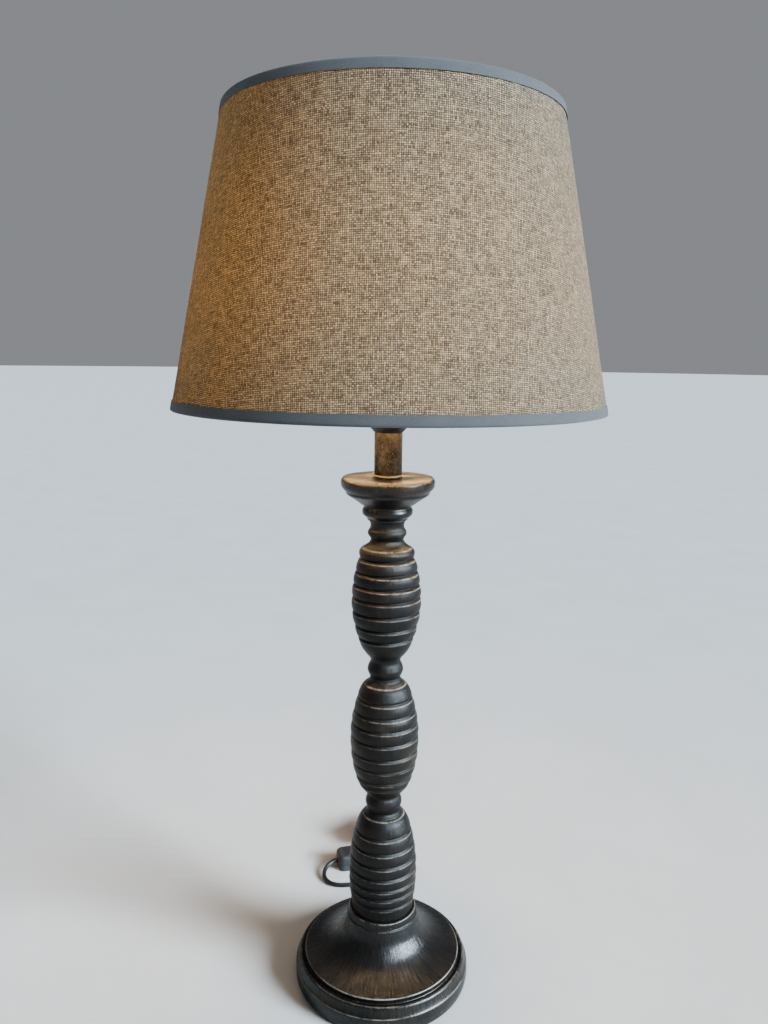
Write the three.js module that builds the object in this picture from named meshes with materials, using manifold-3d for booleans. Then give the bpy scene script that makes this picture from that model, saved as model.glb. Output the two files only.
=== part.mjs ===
// Table lamp: turned wooden column on a bell foot, tapered fabric shade, screw lampholder,
// mains lead with an inline rocker switch and a moulded two-pin plug.
// Millimetres, +Z up. The origin is the middle of the foot's underside, +Y points to the back.

import * as THREE from "three";
import * as BufferGeometryUtils from "three/addons/utils/BufferGeometryUtils.js";
import Module from "manifold-3d";

const wasm = await Module();
wasm.setup();

// ---------------------------------------------------------------- driving dimensions

const GAP = 0.3; // between pieces that touch
const TAU = 2 * Math.PI;

const SHADE = {
  bottomRadius: 200, topRadius: 149.6, bottomZ: 603.2, height: 257,
  fabric: 0.8, lining: 0.6, wireRadius: 1.6, wireInset: 3.8, wireRise: 2.6,
  tape: 0.5, tapeOutside: 8.6, tapeInside: 5, tapeDepth: 6.2, sides: 36,
};
const FITTER = { z: 610.7, thickness: 1.9, innerRadius: 20.3, outerRadius: 25.5, armRadius: 1.5, arms: 3 };
const ROD = {
  radius: 5, bore: 3.6, bottomZ: 30, topZ: 596, clearance: 0.4,
  washerRadius: 12, washerThickness: 1.6, nutHeight: 5.5, nutCornerRadius: 9.8,
};
const FOOT = {
  bottomZ: 1.8, topZ: 80, recessRadius: 28, recessTopZ: 40.3,
  leadHoleRadius: 3.8, leadZ: 9, backY: 91.4,
};
const PAD = { radius: 86, thickness: 1.5 };
const CAP_TOP_Z = 537;
const SLEEVE = { radius: 13.4, wall: 1, bottomZ: 540, topZ: 580.3, ringOverhang: 0.6, lidThickness: 1.5 };
const HOLDER = {
  bottomZ: 580.6, radius: 19.8, bore: 17.4, splitZ: 603.5, topZ: 641, neckRadius: 13.9, neckHeight: 9.2,
  floorThickness: 3, flangeWidth: 3, flangeThickness: 1.8, blockTopZ: 609, blockHeight: 11,
};
const TERMINAL = { x: 11.6, screwRadius: 1.6, screwHeight: 1.1, pocket: [6, 8, 4] };
const SCREW_SHELL = { radius: 14.7, wall: 0.6, baseBore: 9, topZ: 634 };
const BULB = { tipZ: 611.4, capRadius: 13.4, capTopZ: 636, glassTopZ: 713, wall: 1.1 };
const RING_NUT = { radius: 25, height: 8, grips: 10, gripWidth: 3.4, gripDepth: 1.2 };
const CORD = { diameter: 5.2, sides: 10 };
const BOOT = {
  stemRadius: 3.2, stemLength: 11.6, flangeRadius: 6.5, flangeThickness: 2.5, taperLength: 22.9,
};
const COIL = { x: 0, y: 246, middleRadius: 26, pitch: 5.3, layers: 3, lift: 0.9 };
const SWITCH = {
  x: -26.3, y: 188.5, turn: 15, length: 65, width: 27, height: 20, splitZ: 9, floorGap: 0.2, wall: 2,
  cornerRadius: 7, windowLength: 25, windowWidth: 14, rockerWidth: 12.6, pinZ: 14, pinRadius: 1.1,
  screwX: 23, screwRadius: 1.5, screwTopZ: 15, pillarRadius: 3.6,
};
const PLUG = {
  x: -10.6, rearY: 256, length: 37, width: 35, thickness: 13.6, reliefLength: 14,
  pinLength: 19, pinRadius: 2, pinSpacing: 19,
};

// Outline of each turned section: [height, radius] stations of the smooth body, and the heights of
// the rings' upper edges. Above each edge the wood slopes in to a groove under the next ring.
const UPPER = {
  bottomZ: 336.3, topZ: 476.2, grooveDepth: 2,
  below: [[336.3, 15.1], [339.4, 16.7], [343.4, 17.9], [347.6, 16.9], [352.8, 15], [356.6, 16.1]],
  stations: [[357.2, 16.6], [360.3, 19.4], [364.5, 22.6], [369, 25], [376, 27.6], [389, 31], [400, 33.3],
    [411, 34.1], [424, 33.9], [436, 32.5], [448, 30.2], [459, 26.9], [463.5, 26.8]],
  ringEdges: [375.7, 388.3, 402.7, 417.1, 429.8, 442.8, 456],
  above: [[465.4, 26.3], [468.2, 24.4], [469.2, 21.4], [470.4, 20.6], [472.6, 17.9], [476.2, 15.8]],
};
const MIDDLE = {
  bottomZ: 191.3, topZ: 336, grooveDepth: 1.2,
  below: [[191.3, 16.3], [194.8, 17.5], [199.6, 18.7], [204.2, 17.7], [207.8, 16.1], [209.2, 16.5]],
  stations: [[211.2, 18.3], [214.6, 21.6], [218, 24.3], [222.4, 26.8], [230.4, 29.2], [244.7, 32.7],
    [258, 34.1], [268, 34.5], [281, 34.2], [292, 33], [303, 30.6], [313.6, 27.8], [317, 27]],
  ringEdges: [221, 229, 243.3, 256.6, 272, 285.9, 298.3, 312.2],
  above: [[321, 25.2], [325.8, 22.9], [328.4, 20.9], [329.4, 18.6], [330.6, 18], [333, 16], [336, 15.1]],
};
const LOWER = {
  bottomZ: 80.3, topZ: 191, grooveDepth: 1.4,
  below: [],
  stations: [[80.3, 31.8], [88, 32.6], [99, 34], [110, 34.7], [121, 35], [133, 34.7], [147, 33.5],
    [160, 31.3], [168.6, 28.9], [172, 28.2]],
  ringEdges: [92.1, 103.6, 114.1, 126.1, 139.1, 153.1, 167.2],
  above: [[177.2, 26.2], [183, 23.6], [185.9, 21.4], [186.9, 19.2], [188.1, 18.4], [191, 16.3]],
};
const NECK_OUTLINE = [[476.5, 15.8], [479.2, 17.1], [481.2, 18.6], [482.8, 18.9], [485.2, 18.3],
  [487.2, 17], [490, 16.4], [493, 16.8], [495.2, 17.9], [496.2, 19.4], [497, 19.6]];
const CAP_OUTLINE = [[497.3, 19.6], [499.4, 21.8], [501.4, 24], [503.4, 24.6], [506.2, 24.2], [508.5, 23],
  [509.6, 23.1], [511.6, 26.2], [515, 30.8], [518.6, 36.2], [521.6, 40.2], [523.6, 40.8], [526.2, 43.2],
  [529, 45], [532, 45.4], [534.8, 45], [537, 43.4]];
const FOOT_OUTLINE = [[1.8, 89.6], [6, 91.2], [14.5, 91.5], [18.4, 91], [22, 89.1], [27, 87.2], [28.4, 86],
  [27.4, 82.4], [28.6, 81.3], [32.5, 81.3], [33.6, 79.2], [35.6, 72], [38.6, 63.6], [43, 55.4], [48.6, 48.6],
  [55, 43.4], [62, 39.8], [68, 37.8], [71.4, 36.8], [72.4, 35.4], [78.4, 35], [80, 33]];

// Routes of the free cord, chosen by hand: foot to switch, switch to coil, coil to plug.
const LEAD_ROUTE = [[0, 117.8, 9], [0, 121, 8.6], [-1.7, 127.6, 7], [-6.4, 134, 4.9], [-13.6, 138.4, 3.3],
  [-22, 140, 2.7], [-32, 139.6, 2.7], [-42, 138.4, 2.7], [-52, 137.8, 2.7], [-62.8, 140.7, 2.7],
  [-70.6, 148.6, 3], [-73.5, 159.3, 4.2], [-70.6, 170, 6.6], [-63.2, 177.6, 8.7], [-58.1, 179.95, 9]];
const TAIL_ROUTE = [[5.5, 197, 9], [10, 198.2, 9], [14.8, 199.6, 9], [23.3, 204.1, 8.9], [29.2, 211.8, 8.8],
  [31.3, 221, 8.8], [31.3, 225.6, 8.8]];
const END_ROUTE = [[31.3, 266.6, 3.5], [31.2, 272, 3.5], [28.4, 282.5, 4.2], [20.7, 290.2, 6.4],
  [10.4, 293, 10.2], [-0.1, 290.2, 15.4], [-7.8, 282.5, 20.6], [-10.4, 275.6, 23.2], [-10.6, 270.4, 23.9]];
const INNER_ROUTE = [[0, 79.4, 9], [0, 50, 9], [0, 24, 9], [0, 12.4, 10.8], [0, 4, 17.2], [0, 0.4, 27],
  [0, 0, 40], [0, 0, 300], [0, 0, 590]];

// ---------------------------------------------------------------- materials

const material = (color, roughness, metalness = 0) =>
  new THREE.MeshStandardMaterial({ color, roughness, metalness });
const MATERIAL = {
  paintedWood: material(0x17140f, 0.38),
  bronze: material(0x5c4530, 0.42, 0.9),
  steel: material(0x9a9a98, 0.35, 1),
  brass: material(0xb08d4a, 0.35, 1),
  holderPlastic: material(0x1b1a19, 0.4),
  ceramic: material(0xe6e2d8, 0.35),
  wirePaint: material(0xdedbd4, 0.45, 0.2),
  fabric: material(0x9b8d78, 0.95),
  lining: material(0xefe9dc, 0.7),
  tape: material(0x6f7274, 0.85),
  bulbGlass: material(0xf7f1e2, 0.25),
  aluminium: material(0xc4c6c8, 0.35, 1),
  felt: material(0x1d2420, 0.98),
  cord: material(0x111111, 0.5),
  switchPlastic: material(0x2c2d2e, 0.45),
};

// ---------------------------------------------------------------- geometry helpers

const lamp = new THREE.Group();

function addPart(name, geometry, finish, group = lamp) {
  const mesh = new THREE.Mesh(geometry, finish);
  mesh.name = name;
  group.add(mesh);
  return mesh;
}

// Revolves an outline of [radius, height] pairs, given anticlockwise, about +Z.
function turned(outline, sides) {
  const points = outline.map(([radius, height]) => new THREE.Vector2(radius, height));
  return new THREE.LatheGeometry(points, sides).rotateX(Math.PI / 2);
}

const closed = (outline) => [...outline, outline[0]];
const swapPairs = (outline) => outline.map(([height, radius]) => [radius, height]);

// A turned piece with a straight hole along its axis.
function boredTurning(outside, bore, sides) {
  const bottom = outside[0][1];
  const top = outside[outside.length - 1][1];
  return turned(closed([[bore, bottom], ...outside, [bore, top]]), sides);
}

function tube(innerRadius, outerRadius, bottomZ, topZ, sides) {
  return boredTurning([[outerRadius, bottomZ], [outerRadius, topZ]], innerRadius, sides);
}

function disc(radius, bottomZ, topZ, sides) {
  return turned([[0, bottomZ], [radius, bottomZ], [radius, topZ], [0, topZ]], sides);
}

function radiusOn(stations, z) {
  const above = stations.findIndex(([height]) => height >= z);
  const next = above < 0 ? stations.length - 1 : Math.max(1, above);
  const [z0, r0] = stations[next - 1];
  const [z1, r1] = stations[next];
  return r0 + ((r1 - r0) * (z - z0)) / (z1 - z0);
}

// Rings on the smooth body of a section: each has a nearly upright face and an upper edge, and above
// that the wood slopes in to a groove under the next ring's face.
function ringedOutline({ below, stations, ringEdges, above, grooveDepth }) {
  const slopeHeight = 2.8;
  const grooveHeight = 4;
  const lowest = ringEdges[0];
  const highest = ringEdges[ringEdges.length - 1] + grooveHeight;
  const smooth = stations.filter(([z]) => z < lowest || z > highest).map(([z, radius]) => [radius, z]);
  const rings = ringEdges.flatMap((z) => [
    [radiusOn(stations, z), z],
    [radiusOn(stations, z + slopeHeight) - grooveDepth, z + slopeHeight],
    [radiusOn(stations, z + grooveHeight), z + grooveHeight],
  ]);
  const body = [...smooth, ...rings].sort((a, b) => a[1] - b[1]);
  return [...swapPairs(below), ...body, ...swapPairs(above)];
}

function toSolid(geometry) {
  const bare = geometry.clone();
  bare.deleteAttribute("normal");
  bare.deleteAttribute("uv");
  const merged = BufferGeometryUtils.mergeVertices(bare, 1e-4);
  return new wasm.Manifold(new wasm.Mesh({
    numProp: 3,
    vertProperties: new Float32Array(merged.attributes.position.array),
    triVerts: new Uint32Array(merged.index.array),
  }));
}

function toGeometry(solid) {
  const mesh = solid.getMesh();
  const geometry = new THREE.BufferGeometry();
  geometry.setAttribute("position", new THREE.BufferAttribute(new Float32Array(mesh.vertProperties), 3));
  geometry.setIndex(new THREE.BufferAttribute(new Uint32Array(mesh.triVerts), 1));
  return geometry;
}

function cut(geometry, ...tools) {
  return toGeometry(tools.reduce((solid, tool) => solid.subtract(toSolid(tool)), toSolid(geometry)));
}

function join(geometry, ...others) {
  return toGeometry(others.reduce((solid, other) => solid.add(toSolid(other)), toSolid(geometry)));
}

function box(width, depth, height, x, y, z) {
  return new THREE.BoxGeometry(width, depth, height).translate(x, y, z);
}

function polygon(radius, sides) {
  const corners = Array.from({ length: sides }, (_, i) => {
    const angle = (TAU * (i + 0.5)) / sides;
    return new THREE.Vector2(radius * Math.cos(angle), radius * Math.sin(angle));
  });
  return new THREE.Shape(corners);
}

function tubeAlong(route, radius, steps, sides = CORD.sides) {
  const path = new THREE.CatmullRomCurve3(route.map((point) => new THREE.Vector3(...point)));
  return new THREE.ExtrudeGeometry(polygon(radius, sides), { steps, extrudePath: path });
}

// Outline of a plate with round corners, centred on the origin.
function roundedRectangle(width, depth, corner, arcSides = 4) {
  const corners = [[1, -1, -90], [1, 1, 0], [-1, 1, 90], [-1, -1, 180]];
  const points = corners.flatMap(([sx, sy, start]) =>
    Array.from({ length: arcSides + 1 }, (_, i) => {
      const angle = THREE.MathUtils.degToRad(start + (90 * i) / arcSides);
      return new THREE.Vector2(
        sx * (width / 2 - corner) + corner * Math.cos(angle),
        sy * (depth / 2 - corner) + corner * Math.sin(angle),
      );
    }));
  return new THREE.Shape(points);
}

const outlineOf = (points) => new THREE.Shape(points.map(([x, y]) => new THREE.Vector2(x, y)));

function plate(outline, bottomZ, topZ) {
  const extrusion = new THREE.ExtrudeGeometry(outline, { depth: topZ - bottomZ, bevelEnabled: false });
  return extrusion.translate(0, 0, bottomZ);
}

// ---------------------------------------------------------------- wooden column and foot

const WOOD_BORE = ROD.radius + ROD.clearance;
const COLUMN_SIDES = 18;
const CAP_SIDES = 24;
const FOOT_SIDES = 36;

function makeFoot() {
  const outside = swapPairs(FOOT_OUTLINE);
  const body = turned(closed([
    [FOOT.recessRadius, FOOT.bottomZ],
    ...outside,
    [WOOD_BORE, FOOT.topZ],
    [WOOD_BORE, FOOT.recessTopZ],
    [FOOT.recessRadius, FOOT.recessTopZ],
  ]), FOOT_SIDES);
  const holeStart = FOOT.recessRadius - 10;
  const holeLength = FOOT.backY + 10 - holeStart;
  const hole = new THREE.CylinderGeometry(FOOT.leadHoleRadius, FOOT.leadHoleRadius, holeLength, 12);
  hole.translate(0, holeStart + holeLength / 2, FOOT.leadZ);
  return cut(body, hole);
}

function makeColumn() {
  addPart("foot", makeFoot(), MATERIAL.paintedWood);
  addPart("foot_pad", disc(PAD.radius, 0, PAD.thickness, FOOT_SIDES), MATERIAL.felt);
  const sections = {
    column_lower: [ringedOutline(LOWER), COLUMN_SIDES],
    column_middle: [ringedOutline(MIDDLE), COLUMN_SIDES],
    column_upper: [ringedOutline(UPPER), COLUMN_SIDES],
    column_neck: [swapPairs(NECK_OUTLINE), COLUMN_SIDES],
    column_cap: [swapPairs(CAP_OUTLINE), CAP_SIDES],
  };
  for (const [name, [outside, sides]] of Object.entries(sections)) {
    addPart(name, boredTurning(outside, WOOD_BORE, sides), MATERIAL.paintedWood);
  }
}

// ---------------------------------------------------------------- rod, nut, sleeve

function makeRod() {
  const washerTop = FOOT.recessTopZ - GAP;
  const washerBottom = washerTop - ROD.washerThickness;
  const nutTop = washerBottom - GAP;
  const nutBottom = nutTop - ROD.nutHeight;
  addPart("threaded_rod", tube(ROD.bore, ROD.radius, ROD.bottomZ, ROD.topZ, 20), MATERIAL.steel);
  addPart("rod_washer", tube(WOOD_BORE, ROD.washerRadius, washerBottom, washerTop, 24), MATERIAL.steel);
  const nutBore = disc(WOOD_BORE, nutBottom - 1, nutTop + 1, 20);
  const nut = cut(plate(polygon(ROD.nutCornerRadius, 6), nutBottom, nutTop), nutBore);
  addPart("rod_nut", nut, MATERIAL.steel);
  addPart("inner_lead", tubeAlong(INNER_ROUTE, CORD.diameter / 2, 30, 8), MATERIAL.cord);

  const ringBottom = CAP_TOP_Z + GAP;
  const ringTop = SLEEVE.bottomZ - GAP;
  const ringRadius = SLEEVE.radius + SLEEVE.ringOverhang;
  addPart("sleeve_ring", tube(WOOD_BORE, ringRadius, ringBottom, ringTop, 32), MATERIAL.brass);
  const inside = SLEEVE.radius - SLEEVE.wall;
  const lid = SLEEVE.topZ - SLEEVE.lidThickness;
  addPart("sleeve_tube", turned(closed([
    [inside, SLEEVE.bottomZ],
    [SLEEVE.radius, SLEEVE.bottomZ],
    [SLEEVE.radius, SLEEVE.topZ],
    [WOOD_BORE, SLEEVE.topZ],
    [WOOD_BORE, lid],
    [inside, lid],
  ]), 32), MATERIAL.bronze);
}

// ---------------------------------------------------------------- lampholder and bulb

const HOLDER_SIDES = 24;

function makeLampholder() {
  const { bottomZ, radius, bore, splitZ, topZ, neckRadius, neckHeight } = HOLDER;
  const shellWall = radius - bore;
  const floorZ = bottomZ + HOLDER.floorThickness;
  const shoulderZ = bottomZ + neckHeight;
  addPart("holder_base", turned(closed([
    [WOOD_BORE, bottomZ],
    [neckRadius, bottomZ],
    [radius, shoulderZ],
    [radius, splitZ],
    [bore, splitZ],
    [bore, shoulderZ + 0.8],
    [neckRadius - shellWall, floorZ],
    [WOOD_BORE, floorZ],
  ]), HOLDER_SIDES), MATERIAL.holderPlastic);

  const flangeRadius = radius + HOLDER.flangeWidth;
  const flangeTop = FITTER.z - GAP;
  const flangeBottom = flangeTop - HOLDER.flangeThickness;
  addPart("holder_shell", turned(closed([
    [bore, splitZ + GAP],
    [radius, splitZ + GAP],
    [radius, flangeBottom],
    [flangeRadius, flangeBottom],
    [flangeRadius, flangeTop],
    [radius, flangeTop],
    [radius, topZ],
    [bore, topZ],
  ]), HOLDER_SIDES), MATERIAL.holderPlastic);

  const { blockTopZ, blockHeight } = HOLDER;
  const blockClearance = 0.6;
  const block = disc(bore - blockClearance, blockTopZ - blockHeight, blockTopZ, HOLDER_SIDES);
  const [pocketWidth, pocketDepth, pocketHeight] = TERMINAL.pocket;
  const pocketFloor = blockTopZ - pocketHeight + 0.5;
  const pocket = (x) => box(pocketWidth, pocketDepth, pocketHeight, x, 0, pocketFloor + pocketHeight / 2);
  addPart("contact_block", cut(block, pocket(-TERMINAL.x), pocket(TERMINAL.x)), MATERIAL.ceramic);
  for (const [name, x] of [["terminal_screw_live", -TERMINAL.x], ["terminal_screw_neutral", TERMINAL.x]]) {
    const screw = disc(TERMINAL.screwRadius, 0, TERMINAL.screwHeight, 12);
    addPart(name, screw.translate(x, 0, pocketFloor + GAP), MATERIAL.brass);
  }

  const shell = SCREW_SHELL;
  const shellBottom = blockTopZ + GAP;
  addPart("centre_contact", box(4, 9, 1.3, 0, 0, shellBottom + 0.65), MATERIAL.brass);
  addPart("screw_shell", turned(closed([
    [shell.baseBore, shellBottom],
    [shell.radius, shellBottom],
    [shell.radius, shell.topZ],
    [shell.radius - shell.wall, shell.topZ],
    [shell.radius - shell.wall, shellBottom + shell.wall],
    [shell.baseBore, shellBottom + shell.wall],
  ]), HOLDER_SIDES), MATERIAL.brass);
}

function makeBulb() {
  const bulb = new THREE.Group();
  lamp.add(bulb);
  const { tipZ, capRadius, capTopZ, glassTopZ, wall } = BULB;
  const tip = [[0, tipZ], [3.4, tipZ], [4.5, tipZ + 0.8], [4.5, tipZ + 3], [0, tipZ + 3]];
  addPart("bulb_tip", turned(tip, 20), MATERIAL.ceramic, bulb);
  const cap = [
    [5, tipZ + 1.2], [capRadius, tipZ + 4.8], [capRadius, capTopZ],
    [capRadius - 0.6, capTopZ], [capRadius - 0.6, tipZ + 5.4], [5, tipZ + 2.2],
  ];
  addPart("bulb_cap", turned(closed(cap), HOLDER_SIDES), MATERIAL.aluminium, bulb);
  const outside = [[12.2, 617.6], [12.2, 639], [15.4, 647], [22.6, 658], [28.8, 671.5], [29.8, 684],
    [26.4, 698], [16, 709]];
  const inside = outside.map(([radius, z]) => [radius - wall, z]).reverse();
  const section = [...outside, [0, glassTopZ], [0, glassTopZ - wall], ...inside];
  addPart("bulb_glass", turned(closed(section), 20), MATERIAL.bulbGlass, bulb);
}

// ---------------------------------------------------------------- shade

const slope = Math.atan2(SHADE.bottomRadius - SHADE.topRadius, SHADE.height);
const slantLength = SHADE.height / Math.cos(slope);

// A point of the shade's section: along is the distance up the outer face from the bottom edge,
// out the distance from that face, outwards.
function onShade(along, out) {
  return [
    SHADE.bottomRadius - along * Math.sin(slope) + out * Math.cos(slope),
    SHADE.bottomZ + along * Math.cos(slope) + out * Math.sin(slope),
  ];
}

function shadeBand(from, to, inner, outer) {
  const section = [onShade(from, inner), onShade(from, outer), onShade(to, outer), onShade(to, inner)];
  return turned(closed(section), SHADE.sides);
}

// Tape folded over an edge: a U in section, open towards the middle of the shade.
function edgeTape(edge, direction) {
  const { tape, tapeOutside, tapeInside, tapeDepth } = SHADE;
  const up = (distance) => edge + direction * distance;
  const outline = [
    onShade(up(0), tape + GAP), onShade(up(tapeOutside), tape + GAP), onShade(up(tapeOutside), GAP),
    onShade(up(tape), GAP), onShade(up(tape), -tapeDepth + tape), onShade(up(tapeInside), -tapeDepth + tape),
    onShade(up(tapeInside), -tapeDepth), onShade(up(0), -tapeDepth),
  ];
  return turned(closed(direction > 0 ? outline : outline.reverse()), SHADE.sides);
}

function wireRing(along) {
  const [radius, z] = onShade(along, -SHADE.wireInset);
  const section = Array.from({ length: 6 }, (_, i) => [
    radius + SHADE.wireRadius * Math.cos((TAU * i) / 6),
    z + SHADE.wireRadius * Math.sin((TAU * i) / 6),
  ]);
  return turned(closed(section), SHADE.sides);
}

function makeShade() {
  const edge = SHADE.tape + GAP;
  const liningOut = -SHADE.fabric - GAP;
  const topEdge = slantLength - edge;
  const liningIn = liningOut - SHADE.lining;
  addPart("shade_fabric", shadeBand(edge, topEdge, -SHADE.fabric, 0), MATERIAL.fabric);
  addPart("shade_lining", shadeBand(edge, topEdge, liningIn, liningOut), MATERIAL.lining);
  addPart("tape_bottom", edgeTape(0, 1), MATERIAL.tape);
  addPart("tape_top", edgeTape(slantLength, -1), MATERIAL.tape);
  addPart("wire_bottom", wireRing(SHADE.wireRise), MATERIAL.wirePaint);
  addPart("wire_top", wireRing(slantLength - SHADE.wireRise), MATERIAL.wirePaint);

  const { z, thickness, innerRadius, outerRadius, armRadius, arms } = FITTER;
  addPart("fitter_ring", tube(innerRadius, outerRadius, z, z + thickness, 36), MATERIAL.wirePaint);
  const armZ = z + thickness / 2;
  const armRoute = [[outerRadius + GAP, 0, armZ], [80, 0, armZ], [150, 0, armZ], [184, 0, armZ],
    [191.4, 0, armZ - 0.9], [194.6, 0, armZ - 3.1]];
  for (let i = 0; i < arms; i += 1) {
    const arm = tubeAlong(armRoute, armRadius, 14, 8).rotateZ(TAU / 4 + (TAU * i) / arms);
    addPart(`fitter_arm_${i + 1}`, arm, MATERIAL.wirePaint);
  }

  const { radius, height, grips, gripWidth, gripDepth } = RING_NUT;
  const nutBottom = z + thickness + GAP;
  const nutMiddle = nutBottom + height / 2;
  const cutterX = radius + 2 - gripDepth;
  const notches = Array.from({ length: grips }, (_, i) =>
    box(4, gripWidth, height + 2, cutterX, 0, nutMiddle).rotateZ((TAU * i) / grips));
  const nut = cut(tube(innerRadius, radius, nutBottom, nutBottom + height, 40), ...notches);
  addPart("shade_ring_nut", nut, MATERIAL.holderPlastic);
}

// ---------------------------------------------------------------- mains lead, switch and plug

function makeCord() {
  const radius = CORD.diameter / 2;
  const flangeStart = BOOT.stemLength + GAP;
  const flangeEnd = flangeStart + BOOT.flangeThickness;
  const bootEnd = flangeEnd + BOOT.taperLength;
  const boot = turned([
    [0, 0], [BOOT.stemRadius, 0], [BOOT.stemRadius, flangeStart], [BOOT.flangeRadius, flangeStart],
    [BOOT.flangeRadius, flangeEnd], [5, flangeEnd + 1], [3.4, bootEnd], [0, bootEnd],
  ], 16);
  boot.rotateX(-Math.PI / 2).translate(0, FOOT.backY - BOOT.stemLength, FOOT.leadZ);
  addPart("cord_boot", boot, MATERIAL.cord);
  addPart("cord_lead", tubeAlong(LEAD_ROUTE, radius, 16), MATERIAL.cord);
  addPart("cord_tail", tubeAlong(TAIL_ROUTE, radius, 6), MATERIAL.cord);
  addPart("cord_end", tubeAlong(END_ROUTE, radius, 10), MATERIAL.cord);

  const half = (COIL.layers * COIL.pitch) / 2;
  const middleZ = COIL.lift + half;
  const bevel = 2;
  const section = (size) => closed([
    [-size + bevel, -size], [size - bevel, -size], [size, -size + bevel], [size, size - bevel],
    [size - bevel, size], [-size + bevel, size], [-size, size - bevel], [-size, -size + bevel],
  ]);
  const ring = section(half).map(([r, z]) => [COIL.middleRadius + r, middleZ + z]);
  addPart("cord_coil", turned(ring, 28).translate(COIL.x, COIL.y, 0), MATERIAL.cord);

  const tieThickness = 0.5;
  const tieOutline = outlineOf(section(half + GAP + tieThickness).slice(0, -1));
  const tieHole = outlineOf(section(half + GAP).slice(0, -1));
  const tieWidth = 5;
  const tieAngle = -TAU / 8;
  const tie = cut(plate(tieOutline, -tieWidth / 2, tieWidth / 2), plate(tieHole, -tieWidth, tieWidth));
  tie.rotateX(Math.PI / 2).translate(COIL.middleRadius, 0, middleZ);
  tie.rotateZ(tieAngle).translate(COIL.x, COIL.y, 0);
  addPart("coil_tie", tie, MATERIAL.holderPlastic);
}

function makeSwitch() {
  const { length, width, height, splitZ, floorGap, wall } = SWITCH;
  const body = new THREE.Group();
  body.position.set(SWITCH.x, SWITCH.y, 0);
  body.rotation.z = THREE.MathUtils.degToRad(SWITCH.turn);
  lamp.add(body);

  const { cornerRadius, screwX, pillarRadius, screwRadius } = SWITCH;
  const lowerTop = splitZ - GAP / 2;
  const lidBottom = splitZ + GAP / 2;
  const outline = roundedRectangle(length, width, cornerRadius);
  const inner = roundedRectangle(length - 2 * wall, width - 2 * wall, cornerRadius - wall);
  const screwHole = (x) => disc(screwRadius + 0.4, -1, height + 1, 12).translate(x, 0, 0);
  const pillar = (x, bottom) => disc(pillarRadius, bottom, lowerTop, 14).translate(x, 0, 0);

  const trayFloor = floorGap + wall;
  const pillarFoot = trayFloor - 0.5;
  const hollow = cut(plate(outline, floorGap, lowerTop), plate(inner, trayFloor, splitZ + 1));
  const tray = join(hollow, pillar(-screwX, pillarFoot), pillar(screwX, pillarFoot));
  const lower = cut(tray, screwHole(-screwX), screwHole(screwX));
  addPart("switch_case_lower", lower, MATERIAL.switchPlastic, body);

  const { windowLength, windowWidth } = SWITCH;
  const lid = cut(plate(outline, lidBottom, height), plate(inner, lidBottom - 1, height - wall));
  const edgeCut = (side) => box(length + 2, 6, 6, 0, side * (width / 2 + 1.4), height + 1.4);
  const window = plate(roundedRectangle(windowLength, windowWidth, 1.5, 2), splitZ, height + 1);
  addPart("switch_case_upper", cut(lid, edgeCut(1), edgeCut(-1), window), MATERIAL.switchPlastic, body);

  const { pinZ, pinRadius, rockerWidth } = SWITCH;
  const rockerOutline = outlineOf([[-10, -1.5], [-4, -2.6], [4, -2.6], [10, -1.5], [10, 5.6], [5, 5.9],
    [0, 7.1], [-5, 8], [-10, 8.3]]);
  const rocker = plate(rockerOutline, -rockerWidth / 2, rockerWidth / 2).rotateX(Math.PI / 2);
  const cylinder = (radius, depth, sides) => new THREE.CylinderGeometry(radius, radius, depth, sides);
  const bored = cut(rocker, cylinder(pinRadius + 0.4, rockerWidth + 4, 16));
  addPart("switch_rocker", bored.translate(0, 0, pinZ), MATERIAL.switchPlastic, body);
  const pin = cylinder(pinRadius, width - 2 * wall - 1, 12).translate(0, 0, pinZ);
  addPart("switch_pin", pin, MATERIAL.steel, body);
  addPart("switch_contact", box(16, 5, 0.8, 0, 0, trayFloor + GAP + 0.4), MATERIAL.brass, body);
  for (const [name, x] of [["switch_screw_left", -screwX], ["switch_screw_right", screwX]]) {
    const screw = disc(screwRadius, floorGap + 0.4, SWITCH.screwTopZ, 10);
    addPart(name, screw.translate(x, 0, 0), MATERIAL.steel, body);
  }
}

function makePlug() {
  const { width, length, thickness, reliefLength, pinLength, pinRadius, pinSpacing } = PLUG;
  const plug = new THREE.Group();
  const coilTop = COIL.lift + COIL.layers * COIL.pitch;
  plug.position.set(PLUG.x, PLUG.rearY, coilTop + GAP + thickness / 2);
  lamp.add(plug);
  const half = width / 2;
  const shell = plate(outlineOf([
    [-6, 0], [-half + 3, -9], [-half, -15], [-half, -length + 3], [-half + 3, -length],
    [half - 3, -length], [half, -length + 3], [half, -15], [half - 3, -9], [6, 0],
  ]), -thickness / 2, thickness / 2);
  const sunk = 2;
  const reliefEnd = reliefLength + sunk;
  const relief = turned([[0, 0], [5.6, 0], [3.5, reliefEnd], [0, reliefEnd]], 16).rotateX(-Math.PI / 2);
  addPart("plug_body", join(shell, relief.translate(0, -sunk, 0)), MATERIAL.cord, plug);
  const chamfer = 1.2;
  for (const [name, x] of [["plug_pin_left", -pinSpacing / 2], ["plug_pin_right", pinSpacing / 2]]) {
    const pin = turned([
      [0, 0], [pinRadius, 0], [pinRadius, pinLength - chamfer], [pinRadius - chamfer, pinLength],
      [0, pinLength],
    ], 14);
    addPart(name, pin.rotateX(Math.PI / 2).translate(x, -length - GAP, 0), MATERIAL.brass, plug);
  }
}

makeColumn();
makeRod();
makeLampholder();
makeBulb();
makeShade();
makeCord();
makeSwitch();
makePlug();

export default lamp;
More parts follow.
